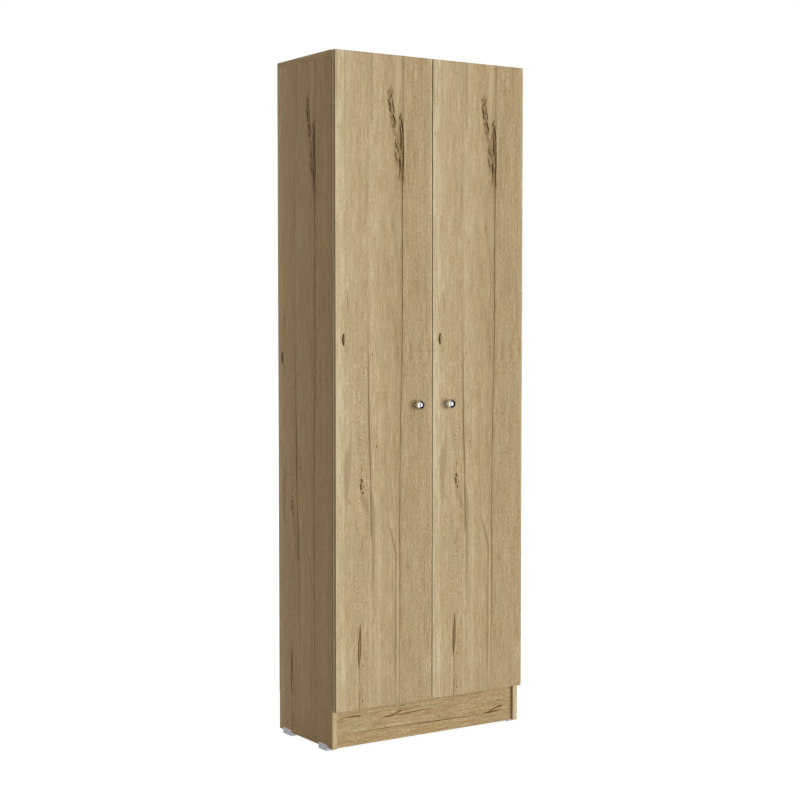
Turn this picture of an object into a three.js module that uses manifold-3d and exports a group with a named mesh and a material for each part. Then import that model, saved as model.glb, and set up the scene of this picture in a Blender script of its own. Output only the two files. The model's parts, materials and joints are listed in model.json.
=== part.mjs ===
// Linen cabinet: a tall two-door cupboard of 15 mm printed chipboard on four nail-on glides.
// Millimetres, +Z up, the doors face -Y. Inside the group, x is 0 at the middle, y is 0 at the
// front edge of the side panels and grows towards the wall, z is 0 at the bottom of the side panels.
import * as THREE from 'three';
import { mergeVertices } from 'three/addons/utils/BufferGeometryUtils.js';
import Module from 'manifold-3d';

const wasm = await Module();
wasm.setup();

// Carcass
const carcassWidth = 600;
const carcassHeight = 1800;
const carcassDepth = 300;
const boardThickness = 15;
const boardArris = 0.5;
const plinthHeight = 100;
const plinthSetback = 8;
const compartmentCount = 5;
const shelfSetback = 6;
const shelfBackGap = 1.2;
const looseShelfSetback = 14;
const looseShelfPlay = 0.3;

// Back: two thin boards joined by an H-section strip
const backThickness = 3;
const backReveal = 1;
const stripWidth = 18;
const stripLip = 0.8;
const stripWeb = 1.6;
const stripPlay = 0.15;
const stripEndGap = 1;

// Doors
const doorThickness = 15;
const doorArris = 1;
const doorSideReveal = 1;
const doorTopReveal = 1;
const doorMiddleGap = 3;
const doorSwingClearance = 0.65;

// Cup hinges: the arm's hooked neck turns on a pin held by two lugs inside the cup
const hingeEndDistance = 100;
const cupRadius = 17.5;
const cupDepth = 11.5;
const cupWall = 0.8;
const cupEdgeDistance = 3;
const cupBorePlay = 0.15;
const cupRimRadius = 19;
const cupRimThickness = 1;
const cupWingLength = 60;
const cupWingWidth = 14;
const cupWingOffset = 6;
const cupScrewSpacing = 48;
const cupScrewRadius = 2;
const hookWidth = 8;
const hookThickness = 1.4;
const hookBend = 2.4;
const hingePinRadius = 1;
const hingePinPlay = 0.1;
const hingePinHead = 0.5;
const hingePinHeadRadius = 1.3;
const hingeEyeWall = 1;
const hingePlay = 0.3;
const lugThickness = 1.6;
const lugWall = 1.4;
const lugRootShare = 0.25;
const armLength = 62;
const armHeight = 9;
const armWall = 1.4;
const armShoulder = 5;
const armSlope = 5;
const armScrewRadius = 2.4;
const armSlotLength = 6;
const armSlotDistance = 16;
const armFixingDistance = 13;
const plateLineDistance = 37;
const plateLength = 46;
const plateCoreWidth = 11;
const plateWingThickness = 2;
const plateWingWidth = 15;
const plateWingMargin = 6;
const plateScrewSpacing = 32;
const plateScrewRadius = 3;
const plateBoreDepth = 6;

// Knobs: a chrome ball on a waisted neck, screwed on from inside the door
const knobHeight = 890;
const knobEdgeDistance = 48;
const knobBallRadius = 12.6;
const knobReach = 29;
const knobFootRadius = 7;
const knobFootHeight = 1.6;
const knobNeckRadius = 5;
const knobScrewRadius = 1.9;
const knobScrewPlay = 0.2;
const knobScrewDepth = 9;
const knobScrewHeadRadius = 4.2;
const knobScrewHeadHeight = 2.4;
const knobScrewCrownShare = 0.6;

// Magnetic catches under the top panel
const catchLength = 45;
const catchWidth = 13;
const catchHeight = 12;
const catchEdgeDistance = 8;
const catchFrontGap = 1;
const catchArris = 1.5;
const catchScrewEar = 6;
const poleLength = 26;
const poleThickness = 1.8;
const poleSeat = 3;
const poleSpacing = 6;
const poleGap = 0.3;
const strikeLength = 36;
const strikeWidth = 12;
const strikeThickness = 1.2;
const strikeArris = 0.3;

// Shelf pins and the holes that they stand in
const shelfPinRadius = 2.4;
const shelfPinPlay = 0.1;
const shelfPinSeat = 8;
const shelfPinReach = 8;
const shelfPinCollarRadius = 3.6;
const shelfPinCollar = 1.2;
const shelfPinRest = 0.2;
const shelfPinFrontInset = 37;
const shelfPinBackInset = 40;
const shelfHolePitch = 32;
const shelfHolesEachWay = 1;
const shelfHoleExtraDepth = 1;

// Glides nailed over the bottom edge of the side panels
const footLength = 44;
const footDrop = 9;
const footFlange = 2;
const footFlangeHeight = 7;
const footArris = 1.5;
const footFlangeChamfer = 1;
const frontFootInset = 24;
const rearFootInset = 22;
const footNailSpacing = 24;
const footNailRadius = 1;

// Cuts run this far past the face that they open
const overrun = 1;

// Faces round a circle
const fineSides = 24;
const plainSides = 14;
const smallSides = 12;
const tinySides = 8;
const arcSteps = 3;
const arrisSteps = 2;
const ballRings = 10;

// Two points of a bent strip closer than this share of its thickness are one point
const samePointShare = 0.01;

const halfWidth = carcassWidth / 2;
const innerHalf = halfWidth - boardThickness;
const sideHeight = carcassHeight - boardThickness;
const floorTop = plinthHeight + boardThickness;

// The pin's place follows from the cup: the eye and the pin's riveted heads clear the cup's wall and floor
const eyeRadius = hingePinRadius + hingePinPlay + hingeEyeWall;
const cupInnerRadius = cupRadius - cupWall;
const hookHalf = hookWidth / 2;
const pinDepth = cupDepth - cupWall - eyeRadius - hingePlay;
const cupCentreInset = cupEdgeDistance + cupRadius;
const cupWallInset = (z) => cupCentreInset - Math.sqrt(cupInnerRadius ** 2 - z ** 2);
const lugInside = hookHalf + hingePlay;
const lugOutside = lugInside + lugThickness;
const pinSeat = lugOutside + hingePinPlay;
const pinEnd = pinSeat + hingePinHead;
const eyeInset = cupWallInset(hookHalf) + eyeRadius;
const headInset = cupWallInset(pinEnd) + hingePinHeadRadius;
const pinInset = hingePlay + Math.max(eyeInset, headInset);

// The door's back outer corner swings round the pin and clears the side panel's front edge
const cornerSwing = Math.hypot(pinInset, pinDepth);
const doorGap = cornerSwing - pinDepth + doorSwingClearance;
const doorBack = -doorGap;
const doorFront = doorBack - doorThickness;
const panelDepth = carcassDepth - doorThickness - doorGap - backThickness;
const backFace = panelDepth + backThickness;
const doorWidth = halfWidth - doorSideReveal - doorMiddleGap / 2;
const doorOuter = halfWidth - doorSideReveal;
const doorBottom = plinthHeight;
const doorTop = carcassHeight - doorTopReveal;
const pinX = doorOuter - pinInset;
const pinY = doorBack - pinDepth;
const cupX = doorOuter - cupCentreInset;

// The hook's neck stands outside every corner of the door and of the cup's rim that swings past it
const rimSwing = Math.hypot(pinInset - cupCentreInset + cupRimRadius, pinDepth + cupRimThickness);
const neckX = pinX - Math.max(cornerSwing, rimSwing) - hingePlay - hookThickness / 2;
const webX = innerHalf - armHeight - armWall / 2;

const shelfCount = compartmentCount - 1;
const compartmentHeight = (sideHeight - floorTop - shelfCount * boardThickness) / compartmentCount;
const shelfBottoms = [];
for (let n = 1; n < compartmentCount; n += 1) {
  shelfBottoms.push(floorTop + n * compartmentHeight + (n - 1) * boardThickness);
}
const shelfBack = panelDepth - stripLip - shelfBackGap;

const hingeHeights = {
  lower: doorBottom + hingeEndDistance,
  middle: (doorBottom + doorTop) / 2,
  upper: doorTop - hingeEndDistance,
};

const print = new THREE.MeshStandardMaterial({ color: 0xb8a684, roughness: 0.5, metalness: 0 });
const hardboard = new THREE.MeshStandardMaterial({ color: 0x7d6248, roughness: 0.8, metalness: 0 });
const palePlastic = new THREE.MeshStandardMaterial({ color: 0xd9d4c8, roughness: 0.5, metalness: 0 });
const greyPlastic = new THREE.MeshStandardMaterial({ color: 0x8d8c89, roughness: 0.6, metalness: 0 });
const chrome = new THREE.MeshStandardMaterial({ color: 0xd6d8da, roughness: 0.08, metalness: 1 });
const nickel = new THREE.MeshStandardMaterial({ color: 0xb9bab8, roughness: 0.35, metalness: 1 });

// Welds a geometry into one closed surface of positions only, with its faces pointing out.
function weld(geometry) {
  const loose = geometry.clone();
  loose.deleteAttribute('normal');
  loose.deleteAttribute('uv');
  const merged = mergeVertices(loose);
  const corners = merged.getAttribute('position');
  const a = new THREE.Vector3();
  const b = new THREE.Vector3();
  const c = new THREE.Vector3();
  const faces = [];
  let volume = 0;
  for (let n = 0; n < merged.index.count; n += 3) {
    const [i, j, k] = [0, 1, 2].map((step) => merged.index.getX(n + step));
    if (i === j || j === k || k === i) continue;
    faces.push([i, j, k]);
    a.fromBufferAttribute(corners, i);
    b.fromBufferAttribute(corners, j);
    c.fromBufferAttribute(corners, k);
    volume += a.dot(b.cross(c));
  }
  if (volume < 0) faces.forEach((face) => face.reverse());
  merged.setIndex(faces.flat());
  return merged;
}

function toSolid(geometry) {
  const closed = weld(geometry);
  return new wasm.Manifold(new wasm.Mesh({
    numProp: 3,
    vertProperties: new Float32Array(closed.getAttribute('position').array),
    triVerts: new Uint32Array(closed.index.array),
  }));
}

function toGeometry(solid) {
  const mesh = solid.getMesh();
  const geometry = new THREE.BufferGeometry();
  geometry.setAttribute('position', new THREE.BufferAttribute(mesh.vertProperties, 3));
  geometry.setIndex(new THREE.BufferAttribute(mesh.triVerts, 1));
  return geometry;
}

// Joins every geometry of the first list and cuts every geometry of the second from it.
function machine(joined, cuts = []) {
  let body = toSolid(joined[0]);
  for (const piece of joined.slice(1)) body = body.add(toSolid(piece));
  for (const cut of cuts) body = body.subtract(toSolid(cut));
  return toGeometry(body);
}

// A block between two corners given as [low, high] along x, y and z.
function block([x0, x1], [y0, y1], [z0, z1]) {
  const geometry = new THREE.BoxGeometry(x1 - x0, y1 - y0, z1 - z0);
  return geometry.translate((x0 + x1) / 2, (y0 + y1) / 2, (z0 + z1) / 2);
}

// The same block with its twelve edges eased by one bevel.
function easedBlock([x0, x1], [y0, y1], [z0, z1], arris, steps = 1) {
  const outline = new THREE.Shape();
  outline.moveTo(x0 + arris, y0 + arris);
  outline.lineTo(x1 - arris, y0 + arris);
  outline.lineTo(x1 - arris, y1 - arris);
  outline.lineTo(x0 + arris, y1 - arris);
  const geometry = new THREE.ExtrudeGeometry(outline, {
    depth: z1 - z0 - 2 * arris,
    bevelSize: arris,
    bevelThickness: arris,
    bevelSegments: steps,
  });
  return geometry.translate(0, 0, z0 + arris);
}

// A round bar between two heights along z, y or x.
function barAlongZ(radius, x, y, [z0, z1], sides) {
  const geometry = new THREE.CylinderGeometry(radius, radius, z1 - z0, sides);
  return geometry.rotateX(Math.PI / 2).translate(x, y, (z0 + z1) / 2);
}

function barAlongY(radius, x, [y0, y1], z, sides) {
  const geometry = new THREE.CylinderGeometry(radius, radius, y1 - y0, sides);
  return geometry.translate(x, (y0 + y1) / 2, z);
}

function barAlongX(radius, [x0, x1], y, z, sides) {
  const geometry = new THREE.CylinderGeometry(radius, radius, x1 - x0, sides);
  return geometry.rotateZ(Math.PI / 2).translate((x0 + x1) / 2, y, z);
}

// A profile of [radius, height] points turned about the y axis.
function turned(profile, sides) {
  return new THREE.LatheGeometry(profile.map(([r, h]) => new THREE.Vector2(r, h)), sides);
}

// The centre line through the points, with each inner corner rounded to the bend radius.
function bentLine(points, bend) {
  const line = new THREE.CurvePath();
  let from = points[0];
  for (let n = 1; n < points.length - 1; n += 1) {
    const corner = points[n];
    const into = points[n].clone().sub(points[n - 1]).normalize();
    const away = points[n + 1].clone().sub(points[n]).normalize();
    const cut = bend * Math.tan(Math.acos(into.dot(away)) / 2);
    const start = corner.clone().addScaledVector(into, -cut);
    const end = corner.clone().addScaledVector(away, cut);
    line.add(new THREE.LineCurve(from, start));
    line.add(new THREE.QuadraticBezierCurve(start, corner, end));
    from = end;
  }
  line.add(new THREE.LineCurve(from, points[points.length - 1]));
  return line;
}

// A strip of even thickness along a bent centre line, drawn in x and y and extruded along z.
function bentStrip(points, bend, thickness, width) {
  const line = bentLine(points, bend);
  const left = [];
  const right = [];
  for (const curve of line.curves) {
    const steps = curve.isLineCurve ? 1 : arcSteps;
    for (let n = 0; n <= steps; n += 1) {
      const place = curve.getPoint(n / steps);
      const along = curve.getTangent(n / steps);
      const across = new THREE.Vector2(-along.y, along.x).multiplyScalar(thickness / 2);
      const last = left[left.length - 1];
      if (last && last.distanceTo(place.clone().add(across)) < thickness * samePointShare) continue;
      left.push(place.clone().add(across));
      right.push(place.clone().sub(across));
    }
  }
  const outline = new THREE.Shape([...left, ...right.reverse()]);
  const geometry = new THREE.ExtrudeGeometry(outline, { depth: width, bevelEnabled: false });
  return geometry.translate(0, 0, -width / 2);
}

function mirrored(geometry) {
  return weld(geometry.clone().scale(-1, 1, 1));
}

const cabinet = new THREE.Group();

function addPiece(name, geometry, material, parent = cabinet) {
  const mesh = new THREE.Mesh(weld(geometry), material);
  mesh.name = name;
  parent.add(mesh);
  return mesh;
}

// Pieces that come in a left and a right are drawn on the right, where x is positive.
function addPair(pattern, geometry, material, z = 0) {
  const right = addPiece(pattern.replace('SIDE', 'right'), geometry, material);
  const left = addPiece(pattern.replace('SIDE', 'left'), mirrored(geometry), material);
  right.position.z = z;
  left.position.z = z;
}

// Side panels with the blind holes for the shelf pins
function shelfPinPlaces() {
  const loose = shelfBottoms.filter((bottom, n) => n % 2 === 0);
  const depths = { front: shelfPinFrontInset, rear: panelDepth - shelfPinBackInset };
  return { heights: loose.map((bottom) => bottom - shelfPinRest - shelfPinRadius), depths };
}

function sidePanel() {
  const board = easedBlock([innerHalf, halfWidth], [0, panelDepth], [0, sideHeight], boardArris);
  const holes = [];
  const { heights, depths } = shelfPinPlaces();
  const bottomOfHole = innerHalf + shelfPinSeat + shelfHoleExtraDepth;
  for (const height of heights) {
    for (const y of Object.values(depths)) {
      for (let n = -shelfHolesEachWay; n <= shelfHolesEachWay; n += 1) {
        const z = height + n * shelfHolePitch;
        const radius = shelfPinRadius + shelfPinPlay;
        holes.push(barAlongX(radius, [innerHalf - overrun, bottomOfHole], y, z, smallSides));
      }
    }
  }
  return machine([board], holes);
}

// Boards that lie flat: the top covers the sides, the floor and shelves stand between them
function addFlatBoards() {
  const wide = [-halfWidth, halfWidth];
  const inside = [-innerHalf, innerHalf];
  const full = [0, panelDepth];
  addPiece('top_panel', easedBlock(wide, full, [sideHeight, carcassHeight], boardArris), print);
  addPiece('bottom_panel', easedBlock(inside, full, [plinthHeight, floorTop], boardArris), print);
  const plinthRun = [plinthSetback, plinthSetback + boardThickness];
  addPiece('plinth_board', easedBlock(inside, plinthRun, [0, plinthHeight], boardArris), print);
  const looseReach = innerHalf - shelfPinCollar - looseShelfPlay;
  const names = [
    'lower_adjustable_shelf', 'lower_fixed_shelf', 'upper_adjustable_shelf', 'upper_fixed_shelf',
  ];
  shelfBottoms.forEach((bottom, n) => {
    const isLoose = n % 2 === 0;
    const run = isLoose ? [-looseReach, looseReach] : inside;
    const depth = [isLoose ? looseShelfSetback : shelfSetback, shelfBack];
    const name = names[n] ?? `shelf_${n + 1}`;
    addPiece(name, easedBlock(run, depth, [bottom, bottom + boardThickness], boardArris), print);
  });
}

// Thin back boards and the strip that joins them
function addBack() {
  const edge = stripWeb / 2 + stripPlay;
  const heights = [plinthHeight + backReveal, carcassHeight - backReveal];
  const board = block([edge, halfWidth - backReveal], [panelDepth, backFace], heights);
  addPair('SIDE_back_panel', board, hardboard);
  const web = [-stripWeb / 2, stripWeb / 2];
  const lips = [-stripWidth / 2, stripWidth / 2];
  const run = [floorTop + stripEndGap, sideHeight - stripEndGap];
  const inner = [panelDepth - stripPlay - stripLip, panelDepth - stripPlay];
  const outer = [backFace + stripPlay, backFace + stripPlay + stripLip];
  const parts = [block(web, [inner[0], outer[1]], run), block(lips, inner, run), block(lips, outer, run)];
  addPiece('back_joining_strip', machine(parts), palePlastic);
}

// Door leaf with its bores for the cups and the knob's screw
function doorLeaf() {
  const inner = doorOuter - doorWidth;
  const leaf = easedBlock(
    [inner, doorOuter], [doorFront, doorBack], [doorBottom, doorTop], doorArris, arrisSteps,
  );
  const bores = Object.values(hingeHeights).map((z) => barAlongY(
    cupRadius + cupBorePlay, cupX, [doorBack - cupDepth - cupBorePlay, doorBack + overrun], z, fineSides,
  ));
  bores.push(barAlongY(
    knobScrewRadius + knobScrewPlay, inner + knobEdgeDistance,
    [doorFront - overrun, doorBack + overrun], knobHeight, smallSides,
  ));
  return machine([leaf], bores);
}

// Knob: foot, waisted neck and ball turned in one piece, with a blind hole for the screw
function knob() {
  const ballCentre = knobReach - knobBallRadius;
  const profile = [[0, 0], [knobFootRadius, 0], [knobFootRadius, knobFootHeight]];
  const meet = Math.asin(knobNeckRadius / knobBallRadius);
  const neckTop = ballCentre - knobBallRadius * Math.cos(meet);
  const waist = new THREE.QuadraticBezierCurve(
    new THREE.Vector2(knobFootRadius, knobFootHeight),
    new THREE.Vector2(knobNeckRadius, knobFootHeight),
    new THREE.Vector2(knobNeckRadius, neckTop),
  );
  for (const point of waist.getPoints(arcSteps).slice(1)) profile.push([point.x, point.y]);
  for (let n = 1; n < ballRings; n += 1) {
    const angle = meet + (Math.PI - meet) * (n / ballRings);
    profile.push([knobBallRadius * Math.sin(angle), ballCentre - knobBallRadius * Math.cos(angle)]);
  }
  profile.push([0, knobReach]);
  const hole = barAlongY(knobScrewRadius + knobScrewPlay, 0, [-overrun, knobScrewDepth], 0, smallSides);
  return machine([turned(profile, fineSides)], [hole]).rotateX(Math.PI);
}

// Knob screw: a flat round head inside the door and a shank through it into the knob
function knobScrew() {
  const tip = doorThickness + knobScrewDepth - knobScrewPlay;
  const crown = knobScrewHeadHeight * knobScrewCrownShare;
  return turned([
    [0, -tip], [knobScrewRadius, -tip], [knobScrewRadius, 0],
    [knobScrewHeadRadius, 0], [knobScrewHeadRadius, crown],
    [knobScrewHeadRadius - crown, knobScrewHeadHeight], [0, knobScrewHeadHeight],
  ], plainSides);
}

// Hinge cup: a turned cup with a rim, two screw wings and the two lugs that hold the pin
function hingeCup() {
  const cup = turned([
    [0, -cupDepth], [cupRadius, -cupDepth], [cupRadius, 0], [cupRimRadius, 0],
    [cupRimRadius, cupRimThickness], [cupInnerRadius, cupRimThickness],
    [cupInnerRadius, cupWall - cupDepth], [0, cupWall - cupDepth],
  ], fineSides).translate(cupX, doorBack, 0);
  const wingX = cupX - cupWingOffset;
  const wingTurn = cupWingWidth / 2;
  const wingEnd = cupWingLength / 2 - wingTurn;
  const onDoor = [doorBack, doorBack + cupRimThickness];
  const wings = [block([wingX - wingTurn, wingX + wingTurn], onDoor, [-wingEnd, wingEnd])];
  const through = [onDoor[0] - overrun, onDoor[1] + overrun];
  const cuts = [barAlongY(cupInnerRadius, cupX, through, 0, fineSides)];
  for (const way of [-1, 1]) {
    wings.push(barAlongY(wingTurn, wingX, onDoor, way * wingEnd, plainSides));
    cuts.push(barAlongY(cupScrewRadius, wingX, through, way * cupScrewSpacing / 2, smallSides));
  }
  // The wings are cut clear of the cup's mouth before the cup joins them.
  const flange = machine(wings, cuts);
  const wallMiddle = cupInnerRadius + cupWall / 2;
  const lugRoot = cupX + Math.sqrt(wallMiddle ** 2 - lugInside ** 2) - cupWall * lugRootShare;
  const lugReach = hingePinRadius + hingePinPlay + lugWall;
  const floor = doorBack - cupDepth + cupWall / 2;
  const lugs = [];
  for (const z of [[-lugOutside, -lugInside], [lugInside, lugOutside]]) {
    lugs.push(block([pinX - lugReach, lugRoot], [floor, pinY + lugReach], z));
  }
  const pinHole = barAlongZ(
    hingePinRadius + hingePinPlay, pinX, pinY, [-lugOutside - overrun, lugOutside + overrun], smallSides,
  );
  return machine([cup, flange, ...lugs], [pinHole]);
}

function hingePin() {
  return turned([
    [0, -pinEnd], [hingePinHeadRadius, -pinEnd], [hingePinHeadRadius, -pinSeat], [hingePinRadius, -pinSeat],
    [hingePinRadius, pinSeat], [hingePinHeadRadius, pinSeat], [hingePinHeadRadius, pinEnd], [0, pinEnd],
  ], tinySides).rotateX(Math.PI / 2).translate(pinX, pinY, 0);
}

// Hinge arm: an eye on the pin, a hooked neck that clears the swinging rim, and a channel over the plate
function hingeArm() {
  const runY = pinY - eyeRadius + hookThickness / 2;
  const channelStart = armShoulder + armSlope;
  const hook = bentStrip([
    new THREE.Vector2(pinX, runY),
    new THREE.Vector2(neckX, runY),
    new THREE.Vector2(neckX, armShoulder),
    new THREE.Vector2(webX, channelStart),
    new THREE.Vector2(webX, channelStart + armSlope),
  ], hookBend, hookThickness, hookWidth);
  const eye = barAlongZ(eyeRadius, pinX, pinY, [-hookHalf, hookHalf], plainSides);
  const throughEye = [-hookHalf - overrun, hookHalf + overrun];
  const channelInside = plateCoreWidth / 2 + hingePlay;
  const channelOutside = channelInside + armWall;
  const along = [channelStart, armLength];
  const webRun = [webX - armWall / 2, webX + armWall / 2];
  const wallRun = [webX, innerHalf - plateWingThickness - hingePlay];
  const web = block(webRun, along, [-channelOutside, channelOutside]);
  const walls = [
    block(wallRun, along, [-channelOutside, -channelInside]),
    block(wallRun, along, [channelInside, channelOutside]),
  ];
  const through = [webRun[0] - overrun, webRun[1] + overrun];
  const slotY = channelStart + armSlotDistance;
  const slotEnds = [slotY - armSlotLength / 2, slotY + armSlotLength / 2];
  const cuts = [
    barAlongZ(hingePinRadius + hingePinPlay, pinX, pinY, throughEye, smallSides),
    block(through, slotEnds, [-armScrewRadius, armScrewRadius]),
    ...slotEnds.map((y) => barAlongX(armScrewRadius, through, y, 0, smallSides)),
    barAlongX(armScrewRadius, through, armLength - armFixingDistance, 0, smallSides),
  ];
  return machine([hook, eye, web, ...walls], cuts);
}

// Mounting plate: a core under the arm and a cross wing with two screw holes
function hingePlate() {
  const start = plateLineDistance - plateLength / 2;
  const coreHalf = plateCoreWidth / 2;
  const core = easedBlock(
    [innerHalf - armHeight, innerHalf], [start, start + plateLength], [-coreHalf, coreHalf], boardArris,
  );
  const wingRun = [innerHalf - plateWingThickness, innerHalf];
  const turn = plateWingWidth / 2;
  const reach = plateScrewSpacing / 2 + plateWingMargin - turn;
  const wing = block(wingRun, [plateLineDistance - turn, plateLineDistance + turn], [-reach, reach]);
  const pieces = [core, wing];
  const cuts = [];
  for (const way of [-1, 1]) {
    pieces.push(barAlongX(turn, wingRun, plateLineDistance, way * reach, plainSides));
    cuts.push(barAlongX(
      plateScrewRadius, [wingRun[0] - overrun, wingRun[1] + overrun],
      plateLineDistance, way * plateScrewSpacing / 2, smallSides,
    ));
  }
  const boreTop = innerHalf - armHeight;
  const bore = [boreTop - overrun, boreTop + plateBoreDepth];
  cuts.push(barAlongX(armScrewRadius, bore, armLength - armFixingDistance, 0, smallSides));
  return machine(pieces, cuts);
}

function addHinges() {
  const pieces = {
    cup: hingeCup(),
    pin: hingePin(),
    arm: hingeArm(),
    plate: hingePlate(),
  };
  for (const [place, z] of Object.entries(hingeHeights)) {
    for (const [name, geometry] of Object.entries(pieces)) {
      addPair(`SIDE_${place}_hinge_${name}`, geometry, nickel, z);
    }
  }
}

// Magnetic catch: a housing with two steel pole plates that meet the door's strike plate
function magneticCatch() {
  const middle = doorMiddleGap / 2 + catchEdgeDistance + catchLength / 2;
  const top = sideHeight;
  const front = catchFrontGap;
  const half = catchLength / 2 - catchScrewEar;
  const housing = easedBlock(
    [middle - half, middle + half], [front, front + catchWidth], [top - catchHeight, top], catchArris,
  );
  const wide = [middle - catchLength / 2, middle + catchLength / 2];
  const ears = block(wide, [front, front + catchWidth], [top - catchArris, top]);
  const poleFront = doorBack + strikeThickness + poleGap;
  const poleMiddle = top - catchHeight / 2;
  const poles = [-1, 1].map((way) => {
    const z = poleMiddle + way * (poleSpacing / 2);
    return block([middle - poleLength / 2, middle + poleLength / 2], [poleFront, front + poleSeat], [
      z - poleThickness / 2, z + poleThickness / 2,
    ]);
  });
  return machine([housing, ears, ...poles]);
}

function strikePlate() {
  const middle = doorMiddleGap / 2 + catchEdgeDistance + catchLength / 2;
  const z = sideHeight - catchHeight / 2;
  return easedBlock(
    [middle - strikeLength / 2, middle + strikeLength / 2], [doorBack, doorBack + strikeThickness],
    [z - strikeWidth / 2, z + strikeWidth / 2], strikeArris,
  );
}

// Shelf pin: a peg in the panel's hole, a collar against its face and a peg under the shelf
function shelfPin() {
  return turned([
    [0, -shelfPinSeat], [shelfPinRadius, -shelfPinSeat], [shelfPinRadius, 0], [shelfPinCollarRadius, 0],
    [shelfPinCollarRadius, shelfPinCollar], [shelfPinRadius, shelfPinCollar],
    [shelfPinRadius, shelfPinCollar + shelfPinReach], [0, shelfPinCollar + shelfPinReach],
  ], smallSides).rotateZ(Math.PI / 2);
}

function addShelfPins() {
  const { heights, depths } = shelfPinPlaces();
  heights.forEach((z, n) => {
    const level = ['lower', 'upper'][n] ?? `level_${n + 1}`;
    for (const [place, y] of Object.entries(depths)) {
      const pin = shelfPin().translate(innerHalf, y, 0);
      addPair(`${level}_${place}_SIDE_shelf_pin`, pin, nickel, z);
    }
  });
}

// Glide: an L section with a flange on the panel's outer face and a sole under its edge
function foot([y0, y1]) {
  const outline = new THREE.Shape();
  const outer = halfWidth + footFlange;
  outline.moveTo(innerHalf, 0);
  outline.lineTo(innerHalf, -footDrop + footArris);
  outline.lineTo(innerHalf + footArris, -footDrop);
  outline.lineTo(outer - footArris, -footDrop);
  outline.absarc(outer - footArris, footArris - footDrop, footArris, -Math.PI / 2, 0, false);
  outline.lineTo(outer, footFlangeHeight - footFlangeChamfer);
  outline.lineTo(outer - footFlangeChamfer, footFlangeHeight);
  outline.lineTo(halfWidth, footFlangeHeight);
  outline.lineTo(halfWidth, 0);
  const body = new THREE.ExtrudeGeometry(outline, {
    depth: y1 - y0,
    bevelEnabled: false,
    curveSegments: arcSteps,
  }).rotateX(Math.PI / 2).translate(0, y1, 0);
  const middle = (y0 + y1) / 2;
  const nails = [-1, 1].map((way) => barAlongX(
    footNailRadius, [halfWidth - overrun, outer + overrun],
    middle + way * footNailSpacing / 2, footFlangeHeight / 2, tinySides,
  ));
  return machine([body], nails);
}

addPair('SIDE_side_panel', sidePanel(), print);
addFlatBoards();
addBack();
addPair('SIDE_door', doorLeaf(), print);
addHinges();
const knobX = doorOuter - doorWidth + knobEdgeDistance;
addPair('SIDE_knob', knob().translate(knobX, doorFront, 0), chrome, knobHeight);
addPair('SIDE_knob_screw', knobScrew().translate(knobX, doorBack, 0), nickel, knobHeight);
addPair('SIDE_magnetic_catch', magneticCatch(), palePlastic);
addPair('SIDE_strike_plate', strikePlate(), nickel);
addShelfPins();
addPair('front_SIDE_foot', foot([frontFootInset, frontFootInset + footLength]), greyPlastic);
const rearFootEnd = panelDepth - rearFootInset;
addPair('rear_SIDE_foot', foot([rearFootEnd - footLength, rearFootEnd]), greyPlastic);

// The origin is under the middle of the whole object, knobs included, on the floor that the glides meet
const frontReach = doorFront - knobReach;
const backReach = backFace + stripPlay + stripLip;
cabinet.position.set(0, -(frontReach + backReach) / 2, footDrop);

export default cabinet;
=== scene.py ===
import json
import math

import bmesh
import bpy
import numpy as np
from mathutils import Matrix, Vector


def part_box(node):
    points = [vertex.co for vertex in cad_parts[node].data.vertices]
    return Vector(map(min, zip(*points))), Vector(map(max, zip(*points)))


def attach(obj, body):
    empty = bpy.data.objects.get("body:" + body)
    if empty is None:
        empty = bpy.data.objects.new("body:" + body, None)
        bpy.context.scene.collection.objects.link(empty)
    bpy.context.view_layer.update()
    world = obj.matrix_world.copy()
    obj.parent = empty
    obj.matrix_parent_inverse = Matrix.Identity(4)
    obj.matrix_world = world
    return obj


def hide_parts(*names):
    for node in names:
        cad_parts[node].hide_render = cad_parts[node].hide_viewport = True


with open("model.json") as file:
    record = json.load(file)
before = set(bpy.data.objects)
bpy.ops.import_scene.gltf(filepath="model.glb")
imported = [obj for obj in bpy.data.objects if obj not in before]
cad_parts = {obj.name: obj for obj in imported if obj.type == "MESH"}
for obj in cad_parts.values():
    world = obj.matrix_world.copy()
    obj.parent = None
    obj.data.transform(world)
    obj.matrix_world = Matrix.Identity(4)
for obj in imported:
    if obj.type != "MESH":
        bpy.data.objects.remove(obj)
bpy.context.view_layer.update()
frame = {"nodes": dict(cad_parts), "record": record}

MM = 0.001

# Camera, found from twelve corners of the cabinet in the photograph
CAMERA_PLACE = (-2.4822, -3.75628, 1.1272)
CAMERA_TILT = 87.168
CAMERA_TURN = -33.317
CAMERA_LENS = 74.4746
CAMERA_SENSOR = 36.0

# Studio: three far, soft lamps, given by where their light comes from, its level on white and its softness
AMBIENT = 0.32
AMBIENT_COLOUR = (1.0, 0.95, 0.90)
BACKGROUND = 1.0
KEY_LAMP = {"from": (0.37, -0.93, 0.03), "level": 0.66, "softness": 44.0}
TOP_LAMP = {"from": (0.05, -0.10, 1.0), "level": 0.36, "softness": 50.0}
BACK_LAMP = {"from": (0.45, 0.85, 0.25), "level": 0.40, "softness": 40.0}
FLOOR_RADIUS = 40.0
FLOOR_GLOW = 0.92
FLOOR_TONE = 0.24
FLOOR_BOUNCE_TONE = 0.50

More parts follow.
